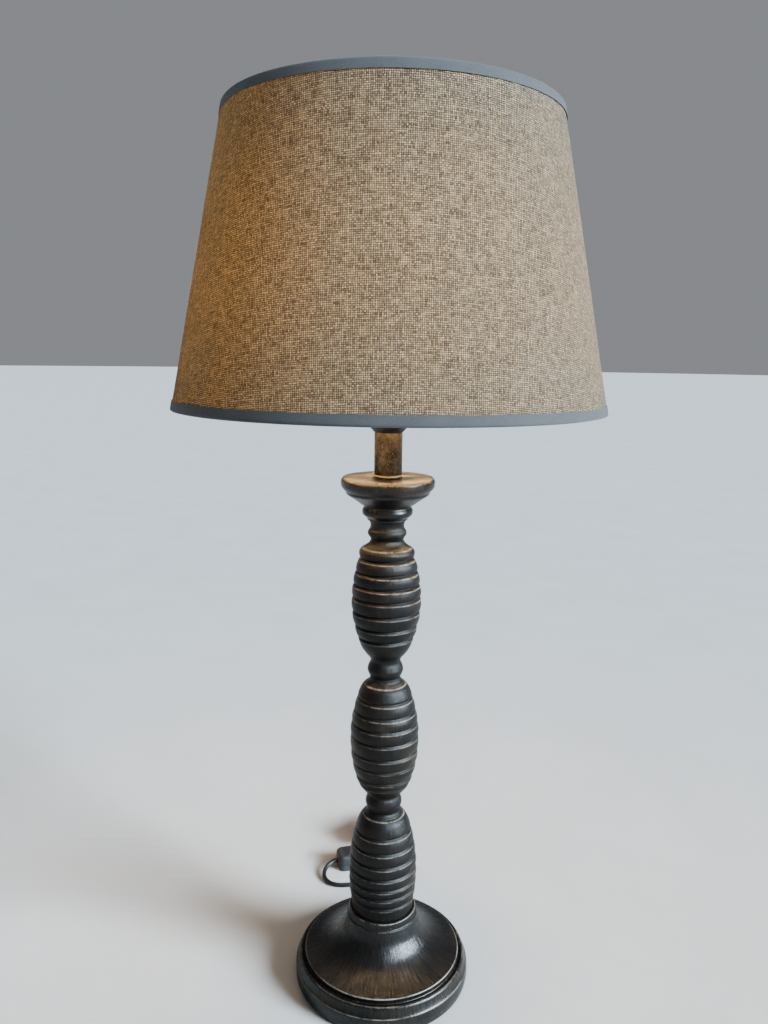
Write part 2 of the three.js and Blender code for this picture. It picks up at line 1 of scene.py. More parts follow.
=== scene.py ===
"""Table lamp with a turned, ringed wooden column, a tapered fabric shade and a mains lead.

The CAD model is the fixed frame. This script builds the fine surfaces round it, in metres, +Z up,
with the front at -Y and the mains lead leaving the foot at the back, +Y.
"""

import math

import bmesh
import bpy
import numpy as np
from mathutils import Matrix, Vector, noise


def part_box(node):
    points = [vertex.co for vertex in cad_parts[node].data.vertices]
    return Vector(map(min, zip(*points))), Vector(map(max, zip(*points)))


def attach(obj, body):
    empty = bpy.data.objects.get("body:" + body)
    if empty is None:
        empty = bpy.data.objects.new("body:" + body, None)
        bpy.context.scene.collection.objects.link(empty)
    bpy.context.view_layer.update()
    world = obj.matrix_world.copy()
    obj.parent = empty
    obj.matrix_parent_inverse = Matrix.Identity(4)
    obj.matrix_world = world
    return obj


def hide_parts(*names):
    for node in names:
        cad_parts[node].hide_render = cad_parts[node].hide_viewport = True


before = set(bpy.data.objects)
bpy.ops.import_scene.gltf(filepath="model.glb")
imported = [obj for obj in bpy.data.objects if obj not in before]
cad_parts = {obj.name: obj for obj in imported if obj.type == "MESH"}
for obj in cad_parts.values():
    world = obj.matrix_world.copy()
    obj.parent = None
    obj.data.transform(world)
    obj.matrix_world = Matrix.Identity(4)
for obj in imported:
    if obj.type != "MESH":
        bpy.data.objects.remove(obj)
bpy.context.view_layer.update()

TAU = 2 * math.pi
# Turns that lay a piece made along +Z towards the front, the back and the right.
Z_TO_FRONT = Matrix.Rotation(TAU / 4, 4, "X")
Z_TO_BACK = Matrix.Rotation(-TAU / 4, 4, "X")
Z_TO_RIGHT = Matrix.Rotation(TAU / 4, 4, "Y")

# ---------------------------------------------------------------- camera

CAMERA_PLACE = (-0.0034, -0.7818, 0.6518)
CAMERA_PITCH = math.radians(-10.78)
CAMERA_ROLL = math.radians(0.74)
CAMERA_LENS = 28.9


def make_camera():
    data = bpy.data.cameras.new("camera")
    data.lens = CAMERA_LENS
    data.sensor_width = 36
    camera = bpy.data.objects.new("camera", data)
    tilt = Matrix.Rotation(math.pi / 2 + CAMERA_PITCH, 4, "X")
    roll = Matrix.Rotation(CAMERA_ROLL, 4, "Z")
    camera.matrix_world = Matrix.Translation(CAMERA_PLACE) @ tilt @ roll
    bpy.context.scene.collection.objects.link(camera)
    bpy.context.scene.camera = camera


make_camera()

# ---------------------------------------------------------------- mesh helpers


def add_object(name, data):
    piece = bpy.data.objects.new(name, data)
    bpy.context.scene.collection.objects.link(piece)
    return piece


def smooth_points(points, step):
    """The points again, on a centripetal Catmull-Rom curve, about step apart. The corners stay."""
    p = [Vector(q) for q in points]
    p = [2 * p[0] - p[1], *p, 2 * p[-1] - p[-2]]
    made = []
    for a, b, c, d in zip(p, p[1:], p[2:], p[3:]):
        knots = [0.0]
        for q, r in ((a, b), (b, c), (c, d)):
            knots.append(knots[-1] + max((r - q).length, 1e-9) ** 0.5)
        t0, t1, t2, t3 = knots
        count = max(1, round((c - b).length / step))
        for i in range(count):
            t = t1 + (t2 - t1) * i / count
            ab = a.lerp(b, (t - t0) / (t1 - t0))
            bc = b.lerp(c, (t - t1) / (t2 - t1))
            cd = c.lerp(d, (t - t2) / (t3 - t2))
            abc = ab.lerp(bc, (t - t0) / (t2 - t0))
            bcd = bc.lerp(cd, (t - t1) / (t3 - t1))
            made.append(abc.lerp(bcd, (t - t1) / (t2 - t1)))
    made.append(p[-2])
    return made


def rounded_loop(corners, arc_sides=4):
    """A closed outline from (x, y, corner radius) corners, each corner an arc."""
    count = len(corners)
    made = []
    for i in range(count):
        x, y, radius = corners[i]
        here = Vector((x, y))
        before = (Vector(corners[i - 1][:2]) - here).normalized()
        after = (Vector(corners[(i + 1) % count][:2]) - here).normalized()
        if radius <= 0:
            made.append(here)
            continue
        half = before.angle(after) / 2
        reach = radius / math.tan(half)
        centre = here + (before + after).normalized() * radius / math.sin(half)
        start = here + before * reach - centre
        end = here + after * reach - centre
        sweep = start.angle_signed(end)
        for k in range(arc_sides + 1):
            made.append(centre + Matrix.Rotation(-sweep * k / arc_sides, 2) @ start)
    return made


def polar(radius, angle, *height):
    return (radius * math.cos(angle), radius * math.sin(angle), *height)


def circle(radius, sides):
    return [polar(radius, TAU * k / sides) for k in range(sides)]


def set_values(mesh, name, values):
    attribute = mesh.attributes.new(name, "FLOAT", "POINT")
    attribute.data.foreach_set("value", np.asarray(values, np.float32))


def revolve(name, outline, segments=96, wear=None, closed=True, shape=None):
    """Revolves (radius, height) points about +Z. wear is one value for each point, kept on the mesh.
    shape(angle, radius, height) gives a point's own radius, for threads, notches and hand turning."""
    rows = len(outline)
    points = []
    for radius, height in outline:
        for i in range(segments):
            angle = TAU * i / segments
            points.append(polar(shape(angle, radius, height) if shape else radius, angle, height))
    last = rows if closed else rows - 1
    faces = []
    for j in range(last):
        k = (j + 1) % rows
        for i in range(segments):
            n = (i + 1) % segments
            faces.append((j * segments + i, j * segments + n, k * segments + n, k * segments + i))
    mesh = bpy.data.meshes.new(name)
    mesh.from_pydata(points, [], faces)
    if outline[0][0] == 0 or outline[-1][0] == 0:
        cleaned = bmesh.new()
        cleaned.from_mesh(mesh)
        bmesh.ops.remove_doubles(cleaned, verts=cleaned.verts, dist=1e-7)
        cleaned.to_mesh(mesh)
        cleaned.free()
    elif wear is not None:
        set_values(mesh, "wear", np.repeat(wear, segments))
    mesh.shade_smooth()
    return add_object(name, mesh)


def shade_flat_edges(piece, degrees=40):
    """Smooth shading with the edges above this angle kept sharp."""
    piece.data.shade_smooth()
    piece.data.set_sharp_from_angle(angle=math.radians(degrees))


def slab(name, outline, bottom, top, bevel=0.0, bevel_sides=3):
    """An upright slab of this (x, y) outline with its top and bottom edges rounded."""
    made = bmesh.new()
    ring = [made.verts.new((x, y, bottom)) for x, y in outline]
    base = made.faces.new(ring)
    raised = bmesh.ops.extrude_face_region(made, geom=[base])
    moved = [v for v in raised["geom"] if isinstance(v, bmesh.types.BMVert)]
    bmesh.ops.translate(made, verts=moved, vec=(0, 0, top - bottom))
    bmesh.ops.recalc_face_normals(made, faces=made.faces)
    if bevel > 0:
        level = [e for e in made.edges if abs(e.verts[0].co.z - e.verts[1].co.z) < 1e-9]
        bmesh.ops.bevel(made, geom=level, offset=bevel, segments=bevel_sides, profile=0.5,
                        affect="EDGES", clamp_overlap=True)
    mesh = bpy.data.meshes.new(name)
    made.to_mesh(mesh)
    made.free()
    piece = add_object(name, mesh)
    shade_flat_edges(piece)
    return piece


def apply_modifiers(piece):
    bpy.context.view_layer.update()
    graph = bpy.context.evaluated_depsgraph_get()
    mesh = bpy.data.meshes.new_from_object(piece.evaluated_get(graph))
    piece.modifiers.clear()
    piece.data = mesh
    return piece


def boolean(piece, other, operation):
    modifier = piece.modifiers.new("cut", "BOOLEAN")
    modifier.operation = operation
    modifier.object = other
    modifier.solver = "EXACT"
    apply_modifiers(piece)
    bpy.data.objects.remove(other)
    shade_flat_edges(piece)
    return piece


def cut(piece, cutter):
    return boolean(piece, cutter, "DIFFERENCE")


def place(piece, matrix):
    piece.data.transform(matrix)
    return piece


def cord_curve(name, route, radius):
    curve = bpy.data.curves.new(name, "CURVE")
    curve.dimensions = "3D"
    curve.bevel_depth = radius
    curve.bevel_resolution = 4
    curve.use_fill_caps = True
    spline = curve.splines.new("POLY")
    spline.points.add(len(route) - 1)
    for point, q in zip(spline.points, route):
        point.co = (*q, 1)
    spline.use_smooth = True
    return add_object(name, curve)


def finish_piece(piece, finish, body, slot, *nodes):
    """Gives a piece its material and its body, and hides the CAD nodes that it stands for. slot is not used.
    """
    piece.data.materials.clear()
    piece.data.materials.append(finish)
    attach(piece, body)
    if nodes:
        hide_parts(*nodes)
    return piece


# ---------------------------------------------------------------- material helpers


class Nodes:
    """A material's node tree, with one short call for each kind of node used here."""

    def __init__(self, name):
        self.material = bpy.data.materials.new(name)
        self.material.use_nodes = True
        self.tree = self.material.node_tree
        self.tree.nodes.clear()
        self.output = self.tree.nodes.new("ShaderNodeOutputMaterial")

    def add(self, kind, inputs=None, **settings):
        node = self.tree.nodes.new(kind)
        for key, value in settings.items():
            setattr(node, key, value)
        for key, value in (inputs or {}).items():
            self.put(node.inputs[key], value)
        return node

    def put(self, socket, value):
        if isinstance(value, bpy.types.NodeSocket):
            self.tree.links.new(value, socket)
        elif isinstance(value, tuple) and len(value) == 3 and socket.type == "RGBA":
            socket.default_value = (*value, 1)
        else:
            socket.default_value = value

    def math(self, operation, *values, clamp=False):
        node = self.add("ShaderNodeMath", dict(enumerate(values)), operation=operation, use_clamp=clamp)
        return node.outputs[0]

    def vector(self, operation, *values):
        node = self.add("ShaderNodeVectorMath", dict(enumerate(values)), operation=operation)
        return node.outputs[0]

    def position(self):
        return self.add("ShaderNodeTexCoord").outputs["Object"]

    def noise(self, vector, scale, detail=3.0, roughness=0.55, distortion=0.0):
        node = self.add("ShaderNodeTexNoise", {
            "Vector": vector, "Scale": scale, "Detail": detail, "Roughness": roughness,
            "Distortion": distortion,
        })
        return node.outputs["Fac"]

    def attribute(self, name, output="Fac"):
        return self.add("ShaderNodeAttribute", attribute_name=name).outputs[output]

    def span(self, value, low, high, to_low=0.0, to_high=1.0):
        node = self.add("ShaderNodeMapRange", {
            "Value": value, "From Min": low, "From Max": high, "To Min": to_low, "To Max": to_high,
        })
        return node.outputs["Result"]

    def mix(self, factor, a, b):
        node = self.add("ShaderNodeMix", data_type="RGBA")
        self.put(node.inputs["Factor"], factor)
        self.put(node.inputs[6], a)
        self.put(node.inputs[7], b)
        return node.outputs[2]

    def bump(self, height, distance, strength=1.0, normal=None):
        node = self.add("ShaderNodeBump", {"Height": height, "Distance": distance, "Strength": strength})
        if normal is not None:
            self.put(node.inputs["Normal"], normal)
        return node.outputs["Normal"]

    def principled(self, **inputs):
        renamed = {key.replace("_", " "): value for key, value in inputs.items()}
        return self.add("ShaderNodeBsdfPrincipled", renamed)

    def finish(self, shader):
        self.tree.links.new(shader.outputs[0], self.output.inputs["Surface"])
        return self.material

    def around(self, lengthwise, across=1.0):
        """Coordinates that run round the Z axis without a seam, drawn out along the height."""
        split = self.add("ShaderNodeSeparateXYZ", {"Vector": self.position()})
        flat = self.add("ShaderNodeCombineXYZ", {"X": split.outputs["X"], "Y": split.outputs["Y"]})
        turned = self.vector("NORMALIZE", flat.outputs[0])
        parts = self.add("ShaderNodeSeparateXYZ", {"Vector": turned})
        return self.add("ShaderNodeCombineXYZ", {
            "X": self.math("MULTIPLY", parts.outputs["X"], across),
            "Y": self.math("MULTIPLY", parts.outputs["Y"], across),
            "Z": self.math("MULTIPLY", split.outputs["Z"], lengthwise),
        }).outputs[0]


# ---------------------------------------------------------------- materials


def painted_wood(name, streaks, wear_share, smoothest, roughest, shine, relief_depth=0.0006):
    """Near-black satin paint over brown wood: faint grain and streaks, rubbed pale on the edges."""
    n = Nodes(name)
    place_at = n.position()
    grain = n.noise(n.around(streaks, 26), 1.0, 5, 0.62)
    fine = n.noise(n.around(streaks * 1.6, 110), 1.0, 3, 0.6)
    cloud = n.noise(place_at, 22, 4)
    specks = n.noise(place_at, 900, 2)
    deep, thin = (0.0040, 0.0038, 0.0041), (0.012, 0.0105, 0.0092)
    browned, rubbed = (0.026, 0.0185, 0.0125), (0.275, 0.250, 0.205)
    black = n.mix(n.span(grain, 0.3, 0.75), deep, thin)
    paint = n.mix(n.span(cloud, 0.46, 0.74, 0.0, 0.6), black, browned)
    broken = n.span(n.noise(n.around(9, 3.5), 1.0, 5, 0.72), 0.34, 0.60, 0.25, 1.0)
    edge = n.math("MULTIPLY", n.attribute("wear"), broken)
    edge = n.math("MULTIPLY", n.span(edge, 0.16, 0.8), wear_share, clamp=True)
    scratch = n.span(n.math("MULTIPLY", fine, n.span(cloud, 0.50, 0.72)), 0.42, 0.55)
    dust = n.span(n.noise(place_at, 420, 1), 0.80, 0.84)
    bare = n.math("MAXIMUM", edge, n.math("MULTIPLY", scratch, 0.22))
    bare = n.math("MAXIMUM", bare, n.math("MULTIPLY", dust, 0.6))
    colour = n.mix(bare, paint, rubbed)
    rough = n.math("ADD", n.span(fine, 0.3, 0.7, smoothest, roughest), n.math("MULTIPLY", bare, 0.2))
    rough = n.math("ADD", rough, n.span(specks, 0.45, 0.8, 0.0, 0.1), clamp=True)
    relief = n.math("ADD", n.math("MULTIPLY", grain, 0.8), n.math("MULTIPLY", fine, 0.5))
    normal = n.bump(relief, relief_depth, 0.6)
    normal = n.bump(specks, 0.00012, 0.3, normal)
    shader = n.principled(Base_Color=colour, Roughness=rough, Normal=normal, Specular_IOR_Level=shine)
    return n.finish(shader)


def aged_bronze(name):
    n = Nodes(name)
    place_at = n.position()
    patches = n.noise(place_at, 95, 5, 0.65, 0.4)
    flecks = n.noise(n.around(420, 16), 1.0, 4, 0.7)
    dark = n.mix(n.span(patches, 0.36, 0.66), (0.020, 0.0165, 0.0135), (0.086, 0.072, 0.057))
    colour = n.mix(n.math("MULTIPLY", n.span(flecks, 0.54, 0.70), 0.6), dark, (0.29, 0.25, 0.205))
    rough = n.span(patches, 0.3, 0.7, 0.62, 0.36)
    normal = n.bump(n.math("ADD", patches, flecks), 0.00025, 0.5)
    return n.finish(n.principled(Base_Color=colour, Metallic=0.82, Roughness=rough, Normal=normal))


def metal(name, colour, roughness, brushed=900):
    n = Nodes(name)
    lines = n.noise(n.around(brushed, 4), 1.0, 3)
    smudge = n.noise(n.position(), 60, 3)
    shade = tuple(c * 0.72 for c in colour)
    tone = n.mix(n.span(smudge, 0.35, 0.7), shade, colour)
    rough = n.math("ADD", n.span(lines, 0.3, 0.7, roughness - 0.06, roughness + 0.08),
                   n.span(smudge, 0.4, 0.8, 0, 0.08))
    normal = n.bump(lines, 0.00006, 0.5)
    return n.finish(n.principled(Base_Color=tone, Metallic=1.0, Roughness=rough, Normal=normal))


def plastic(name, colour, roughness, texture_scale=2600, relief=0.00006, coat=0.0):
    """Moulded plastic: fine spark texture, a little dust and uneven gloss."""
    n = Nodes(name)
    place_at = n.position()
    texture = n.noise(place_at, texture_scale, 2)
    smudge = n.noise(place_at, 70, 4)
    dusty = tuple(min(1.0, c * 1.35 + 0.006) for c in colour)
    tone = n.mix(n.span(smudge, 0.4, 0.75), colour, dusty)
    rough = n.span(smudge, 0.3, 0.75, roughness - 0.07, roughness + 0.10)
    normal = n.bump(texture, relief, 0.5)
    return n.finish(n.principled(Base_Color=tone, Roughness=rough, Normal=normal, Coat_Weight=coat))


def weave_pattern(n, pitch):
    """Plain weave from the cloth's flat coordinates: (thread height, tone, which thread is on top)."""
    flat = n.add("ShaderNodeSeparateXYZ", {"Vector": n.attribute("flat", "Vector")})
    across, along = flat.outputs["X"], flat.outputs["Y"]
    sway = n.noise(n.attribute("flat", "Vector"), 140, 2)
    sway = n.math("MULTIPLY", n.math("SUBTRACT", sway, 0.5), 0.9 * pitch)
    u = n.math("DIVIDE", n.math("ADD", across, sway), pitch)
    v = n.math("DIVIDE", n.math("SUBTRACT", along, sway), pitch)
    warp_number, weft_number = n.math("FLOOR", u), n.math("FLOOR", v)

    def thread(number, position, other, turn):
        """Height and tone of one set of threads: rounded, rising and dipping, thick and thin."""
        wave = n.math("SINE", n.math("MULTIPLY", position, math.pi))
        crown = n.math("POWER", n.math("ABSOLUTE", wave), 0.7)
        phase = n.math("MULTIPLY", n.math("ADD", n.math("ADD", other, number), turn), math.pi)
        rise = n.span(n.math("SINE", phase), -1, 1, 0.25, 1)
        seat = n.add("ShaderNodeCombineXYZ", {
            "X": n.math("MULTIPLY", number, 3.7), "Y": n.math("MULTIPLY", other, 0.17), "Z": turn * 5.0,
        })
        slub = n.noise(seat.outputs[0], 1.0, 3, 0.7)
        height = n.math("MULTIPLY", n.math("MULTIPLY", crown, rise), n.span(slub, 0.25, 0.75, 0.62, 1.15))
        return height, slub

    warp_height, warp_tone = thread(warp_number, u, v, 0.0)
    weft_height, weft_tone = thread(weft_number, v, u, 1.0)
    height = n.math("MAXIMUM", warp_height, weft_height)
    on_top = n.math("GREATER_THAN", warp_height, weft_height)
    tone_node = n.add("ShaderNodeMix", {"Factor": on_top, "A": weft_tone, "B": warp_tone})
    return height, tone_node.outputs[0], on_top


def shade_linen(name):
    """Coarse heathered linen, thin enough for the bulb to glow through."""
    n = Nodes(name)
    height, tone, on_top = weave_pattern(n, 0.0016)
    light_yarn = n.mix(on_top, (0.58, 0.507, 0.375), (0.48, 0.415, 0.302))
    dark_yarn = n.mix(on_top, (0.163, 0.136, 0.098), (0.213, 0.182, 0.134))
    yarn = n.mix(n.span(tone, 0.34, 0.62), dark_yarn, light_yarn)
    blotch = n.noise(n.attribute("flat", "Vector"), 38, 4, 0.6)
    yarn = n.mix(n.span(blotch, 0.35, 0.7, 0.0, 0.12), yarn, (0.22, 0.19, 0.15))
    # The low places between the threads are darkened nearly to black in the cloth's colour: painted shade in
    # the weave's gaps. The same mask also dims the glow colour there.
    gap = n.span(height, 0.40, 0.80)
    colour = n.mix(gap, (0.028, 0.024, 0.020), yarn)
    normal = n.bump(height, 0.0009, 0.9)
    cloth = n.principled(Base_Color=colour, Roughness=0.92, Normal=normal, Sheen_Weight=0.12,
                         Sheen_Roughness=0.5)
    glow_yarn = n.mix(n.span(tone, 0.34, 0.62), (0.16, 0.126, 0.056), (0.38, 0.305, 0.135))
    glow_colour = n.mix(gap, (0.12, 0.095, 0.055), glow_yarn)
    glow = n.add("ShaderNodeBsdfTranslucent", {"Color": glow_colour})
    both = n.add("ShaderNodeMixShader", {0: 0.45, 1: cloth.outputs[0], 2: glow.outputs[0]})
    return n.finish(both)


def shade_backing(name):
    """The white sheet behind the linen: smooth, faintly mottled, lets light through."""
    n = Nodes(name)
    mottle = n.noise(n.position(), 120, 4)
    colour = n.mix(n.span(mottle, 0.35, 0.7), (0.88, 0.85, 0.79), (0.93, 0.91, 0.86))
    normal = n.bump(n.noise(n.position(), 1500, 2), 0.00005, 0.4)
    sheet = n.principled(Base_Color=colour, Roughness=0.55, Normal=normal)
    through = n.add("ShaderNodeBsdfTranslucent", {"Color": (0.95, 0.83, 0.58)})
    both = n.add("ShaderNodeMixShader", {0: 0.15, 1: sheet.outputs[0], 2: through.outputs[0]})
    return n.finish(both)


def woven_tape(name):
    """Close grey twill tape."""
    n = Nodes(name)
    ribs = n.math("SINE", n.math("MULTIPLY", n.attribute("along"), TAU / 0.00085))
    cross = n.math("SINE", n.math("MULTIPLY", n.attribute("across"), TAU / 0.0009))
    thread = n.math("MULTIPLY", ribs, cross)
    fuzz = n.noise(n.position(), 700, 4, 0.65)
    blotch = n.noise(n.position(), 40, 3)
    tone = n.math("ADD", n.span(thread, -1, 1, 0.0, 0.45), n.math("MULTIPLY", fuzz, 0.6))
    colour = n.mix(n.span(tone, 0.2, 0.85), (0.030, 0.030, 0.031), (0.080, 0.080, 0.084))
    colour = n.mix(n.span(blotch, 0.4, 0.75, 0, 0.25), colour, (0.100, 0.097, 0.094))
    normal = n.bump(n.math("ADD", thread, fuzz), 0.00022, 0.6)
    return n.finish(n.principled(Base_Color=colour, Roughness=0.82, Normal=normal, Sheen_Weight=0.22))


def felt(name):
    n = Nodes(name)
    fibres = n.noise(n.position(), 1400, 5, 0.75, 1.2)
    colour = n.mix(n.span(fibres, 0.35, 0.7), (0.012, 0.016, 0.013), (0.045, 0.055, 0.047))
    normal = n.bump(fibres, 0.0005, 0.8)
    return n.finish(n.principled(Base_Color=colour, Roughness=0.97, Normal=normal, Sheen_Weight=0.3))


BULB_GLOW = 230.0


def frosted_bulb(name):
    """Frosted glass, lit: brightest where the filament is behind it."""
    n = Nodes(name)
    height = n.add("ShaderNodeSeparateXYZ", {"Vector": n.position()}).outputs["Z"]
    lowest, highest = (corner.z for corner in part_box("bulb_glass"))
    lit = n.span(height, lowest + 0.2 * (highest - lowest), lowest + 0.45 * (highest - lowest), 0.15, 1)
    haze = n.noise(n.position(), 300, 3)
    warm = n.mix(n.span(haze, 0.3, 0.7), (1.0, 0.63, 0.28), (1.0, 0.67, 0.32))
    strength = n.math("MULTIPLY", lit, BULB_GLOW)
    shader = n.principled(Base_Color=(0.9, 0.88, 0.82), Roughness=0.35, Emission_Color=warm,
                          Emission_Strength=strength)
    return n.finish(shader)


def glazed_ceramic(name):
    n = Nodes(name)
    mottle = n.noise(n.position(), 260, 4)
    colour = n.mix(n.span(mottle, 0.35, 0.7), (0.72, 0.69, 0.62), (0.82, 0.80, 0.75))
    normal = n.bump(n.noise(n.position(), 900, 2), 0.0001, 0.4)
    return n.finish(n.principled(Base_Color=colour, Roughness=0.22, Normal=normal, Coat_Weight=0.3))


WOOD = painted_wood("painted_wood", 30, 0.58, 0.27, 0.52, 0.26)
FOOT_WOOD = painted_wood("painted_wood_foot", 60, 1.0, 0.16, 0.42, 0.42)
CAP_WOOD = painted_wood("painted_wood_cap", 30, 0.6, 0.22, 0.40, 0.45, 0.00015)
BRONZE = aged_bronze("aged_bronze")
STEEL = metal("zinc_plated_steel", (0.60, 0.60, 0.59), 0.34)
BRASS = metal("plain_brass", (0.70, 0.52, 0.25), 0.30)
DULL_BRASS = metal("dull_brass", (0.36, 0.29, 0.19), 0.48)
ALUMINIUM = metal("bright_aluminium", (0.80, 0.80, 0.81), 0.28)
HOLDER_PLASTIC = plastic("holder_plastic", (0.012, 0.012, 0.012), 0.42)
SWITCH_PLASTIC = plastic("switch_plastic", (0.030, 0.031, 0.033), 0.46, 3200, 0.00008)
SHEATH = plastic("cord_sheath", (0.011, 0.011, 0.012), 0.40, 1800, 0.00005)
WIRE_PAINT = plastic("wire_paint", (0.78, 0.76, 0.72), 0.45, 1500, 0.00005)
LINEN = shade_linen("shade_linen")
BACKING = shade_backing("shade_backing")
TAPE = woven_tape("woven_tape")
FELT = felt("dark_felt")
CERAMIC = glazed_ceramic("glazed_ceramic")
FROSTED = frosted_bulb("frosted_bulb")

# ---------------------------------------------------------------- mains lead

CORD_DIAMETER = 0.0052
CORD_STEP = 0.0015
CORD_BORE = CORD_DIAMETER / 2 + 0.0001
LEAD_HEIGHT = 0.009
COIL_CENTRE = Vector((0, 0.246))
COIL_PITCH = 0.0053
COIL_INNER_RADIUS = 0.0207
COIL_LOWEST = 0.00355
COIL_ORDER = [(2, 1), (2, 2), (1, 2), (0, 2), (0, 1), (1, 1), (0, 0), (1, 0), (2, 0)]
POINTS_A_TURN = 24
CROSSING_START, CROSSING_END = 0.64, 0.97
LEAD_ROUTE = [
    (0, 0.108, 0.009), (0, 0.1178, 0.009), (0, 0.121, 0.0086), (-0.0017, 0.1276, 0.007),
    (-0.0064, 0.134, 0.0049), (-0.0136, 0.1384, 0.0033), (-0.022, 0.14, 0.0027), (-0.032, 0.1396, 0.0027),
    (-0.042, 0.1384, 0.0027), (-0.052, 0.1378, 0.0027), (-0.0628, 0.1407, 0.0027), (-0.0706, 0.1486, 0.003),
    (-0.0735, 0.1593, 0.0042), (-0.0706, 0.17, 0.0066), (-0.0632, 0.1776, 0.0087), (-0.0581, 0.17995, 0.009),
]
TAIL_ROUTE = [
    (0.0055, 0.197, 0.009), (0.01, 0.1982, 0.009), (0.0148, 0.1996, 0.009), (0.0233, 0.2041, 0.0089),
    (0.0292, 0.2118, 0.0088), (0.0313, 0.221, 0.0088), (0.0313, 0.2256, 0.0088),
]
END_ROUTE = [
    (0.0313, 0.2666, 0.0035), (0.0312, 0.272, 0.0035), (0.0284, 0.2825, 0.0042), (0.0207, 0.2902, 0.0064),
    (0.0104, 0.293, 0.0102), (-0.0001, 0.2902, 0.0154), (-0.0078, 0.2825, 0.0206), (-0.0104, 0.2756, 0.0232),
    (-0.0106, 0.2704, 0.0239),
]


def coil_point(turn):
    """The wound lead after this many turns: neat rounds, each stepping over to the next place in its
    last third, and bowing out a little where it steps round a corner of the winding."""
    number = min(int(turn), len(COIL_ORDER) - 1)
    share = turn - number
    column, layer = COIL_ORDER[number]
    if number + 1 < len(COIL_ORDER):
        next_column, next_layer = COIL_ORDER[number + 1]
        step = min(1, max(0, (share - CROSSING_START) / (CROSSING_END - CROSSING_START)))
        eased = step * step * (3 - 2 * step)
        bow = 0.2 * math.sin(math.pi * eased)
        level = column == next_column
        outward = (1 if column == 2 else -1) if level else 0
        upward = 1 if not level and layer == 2 else 0
        column += (next_column - column) * eased + bow * outward
        layer += (next_layer - layer) * eased + bow * upward
    angle = TAU * turn
    radius = COIL_INNER_RADIUS + COIL_PITCH * column
    return (
        COIL_CENTRE.x + radius * math.cos(angle),
        COIL_CENTRE.y + radius * math.sin(angle),
        COIL_LOWEST + COIL_PITCH * layer,
    )


def make_cords():
    lead_route = smooth_points(LEAD_ROUTE, CORD_STEP)
    lead = cord_curve("lead_to_switch", lead_route, CORD_DIAMETER / 2)
    turns = len(COIL_ORDER)
    count = turns * POINTS_A_TURN
    coil = [coil_point(turns * i / count) for i in range(1, count)]
    route = smooth_points([*TAIL_ROUTE, *coil, *END_ROUTE], CORD_STEP)
    wound = cord_curve("lead_to_plug", route, CORD_DIAMETER / 2)
    finish_piece(lead, SHEATH, "stand", "cord_pvc", "cord_lead")
    finish_piece(wound, SHEATH, "stand", "cord_pvc", "cord_tail", "cord_end", "cord_coil")
    lengths = [sum((b - a).length for a, b in zip(points, points[1:])) for points in (lead_route, route)]
    return lead, wound, lengths


LEAD, WOUND_LEAD, CORD_LENGTHS = make_cords()


def make_boot():
    """The tapered strain relief at the back of the foot, cut into rings so that it flexes."""
    low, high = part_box("cord_boot")
    tip = high.y - low.y
    flange = high.y - 0.0254 - low.y
    outline = [
        (0, 0), (0.0032, 0), (0.0032, flange), (0.0062, flange), (0.0065, flange + 0.0004),
        (0.0065, flange + 0.0021), (0.0061, flange + 0.0025),
    ]
    taper_start = flange + 0.0028
    length = tip - taper_start
    rings = 6
    for k in range(rings):
        at = taper_start + length * k / rings
        radius = 0.0051 - 0.0017 * k / rings
        outline += [(radius, at), (radius, at + length / rings * 0.55)]
        groove = radius - 0.0007
        outline += [(groove, at + length / rings * 0.66), (groove, at + length / rings * 0.88)]
    outline += [(0.0034, tip), (CORD_BORE, tip), (CORD_BORE, tip - 0.012), (0, tip - 0.012)]
    boot = revolve("lead_boot", outline, 40, closed=False)
    exit_place = Matrix.Translation((0, low.y, (low.z + high.z) / 2))
    place(boot, exit_place @ Z_TO_BACK)
    shade_flat_edges(boot, 35)
    return finish_piece(boot, SHEATH, "stand", "cord_pvc", "cord_boot")


BOOT = make_boot()

# ---------------------------------------------------------------- turned wood

ROD_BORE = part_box("threaded_rod")[1].x + 0.0004


def cad_outline(node):
    """(radius, height) of a turned CAD node's outer side, from the bottom up."""
    widest = {}
    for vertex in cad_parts[node].data.vertices:
        height = round(vertex.co.z, 5)
        widest[height] = max(widest.get(height, 0), math.hypot(vertex.co.x, vertex.co.y))
    return [(widest[height], height) for height in sorted(widest)]


def hand_turned(depth, seed):
    """A slight waver round the axis, as wood has that was turned and sanded by hand."""
    def shape(angle, radius, height):
        at = Vector((math.cos(angle) * 1.3, math.sin(angle) * 1.3, height * 160 + seed))
        return radius + depth * noise.noise(at)
    return shape


# The surface above a ring's upper edge: height above the edge as a share of the slope's height, and
# depth as a share of the groove's. It slopes in to the groove, then steps out to the next ring.
RING_SECTION = [
    (0.0, 0.0), (0.15, 0.10), (0.5, 0.46), (0.85, 0.88), (1.0, 1.0), (1.1, 0.97), (1.2, 0.55), (1.32, 0.18),
    (1.5, 0.0),
]
ROW_HEIGHT = 0.0004
TALLEST_RING_STEP = 0.0043
LEAST_GROOVE = 0.0007
EDGE_WIDTH = 0.00062
FACE_BULGE = 0.0005
GROOVE_DEEPENING = 1.2


def find_rings(outline):
    """Splits a ringed outline into its smooth body and its rings: (edge height, groove height, depth)."""
    body, rings = [outline[0]], []
    for before, here, after in zip(outline, outline[1:], outline[2:]):
        share = (here[1] - before[1]) / (after[1] - before[1])
        depth = before[0] + (after[0] - before[0]) * share - here[0]
        if depth > LEAST_GROOVE and after[1] - before[1] < TALLEST_RING_STEP:
            rings.append((before[1], here[1], depth))
        else:
            body.append(here)
    body.append(outline[-1])
    return body, rings


def softened(values, spread):
    """Values along the rows, with a short running blur, so that no edge is left knife-sharp."""
    reach = 3 * spread
    weights = np.exp(-((np.arange(-reach, reach + 1) / spread) ** 2))
    padded = np.pad(values, reach, mode="edge")
    return np.convolve(padded, weights / weights.sum(), mode="valid")


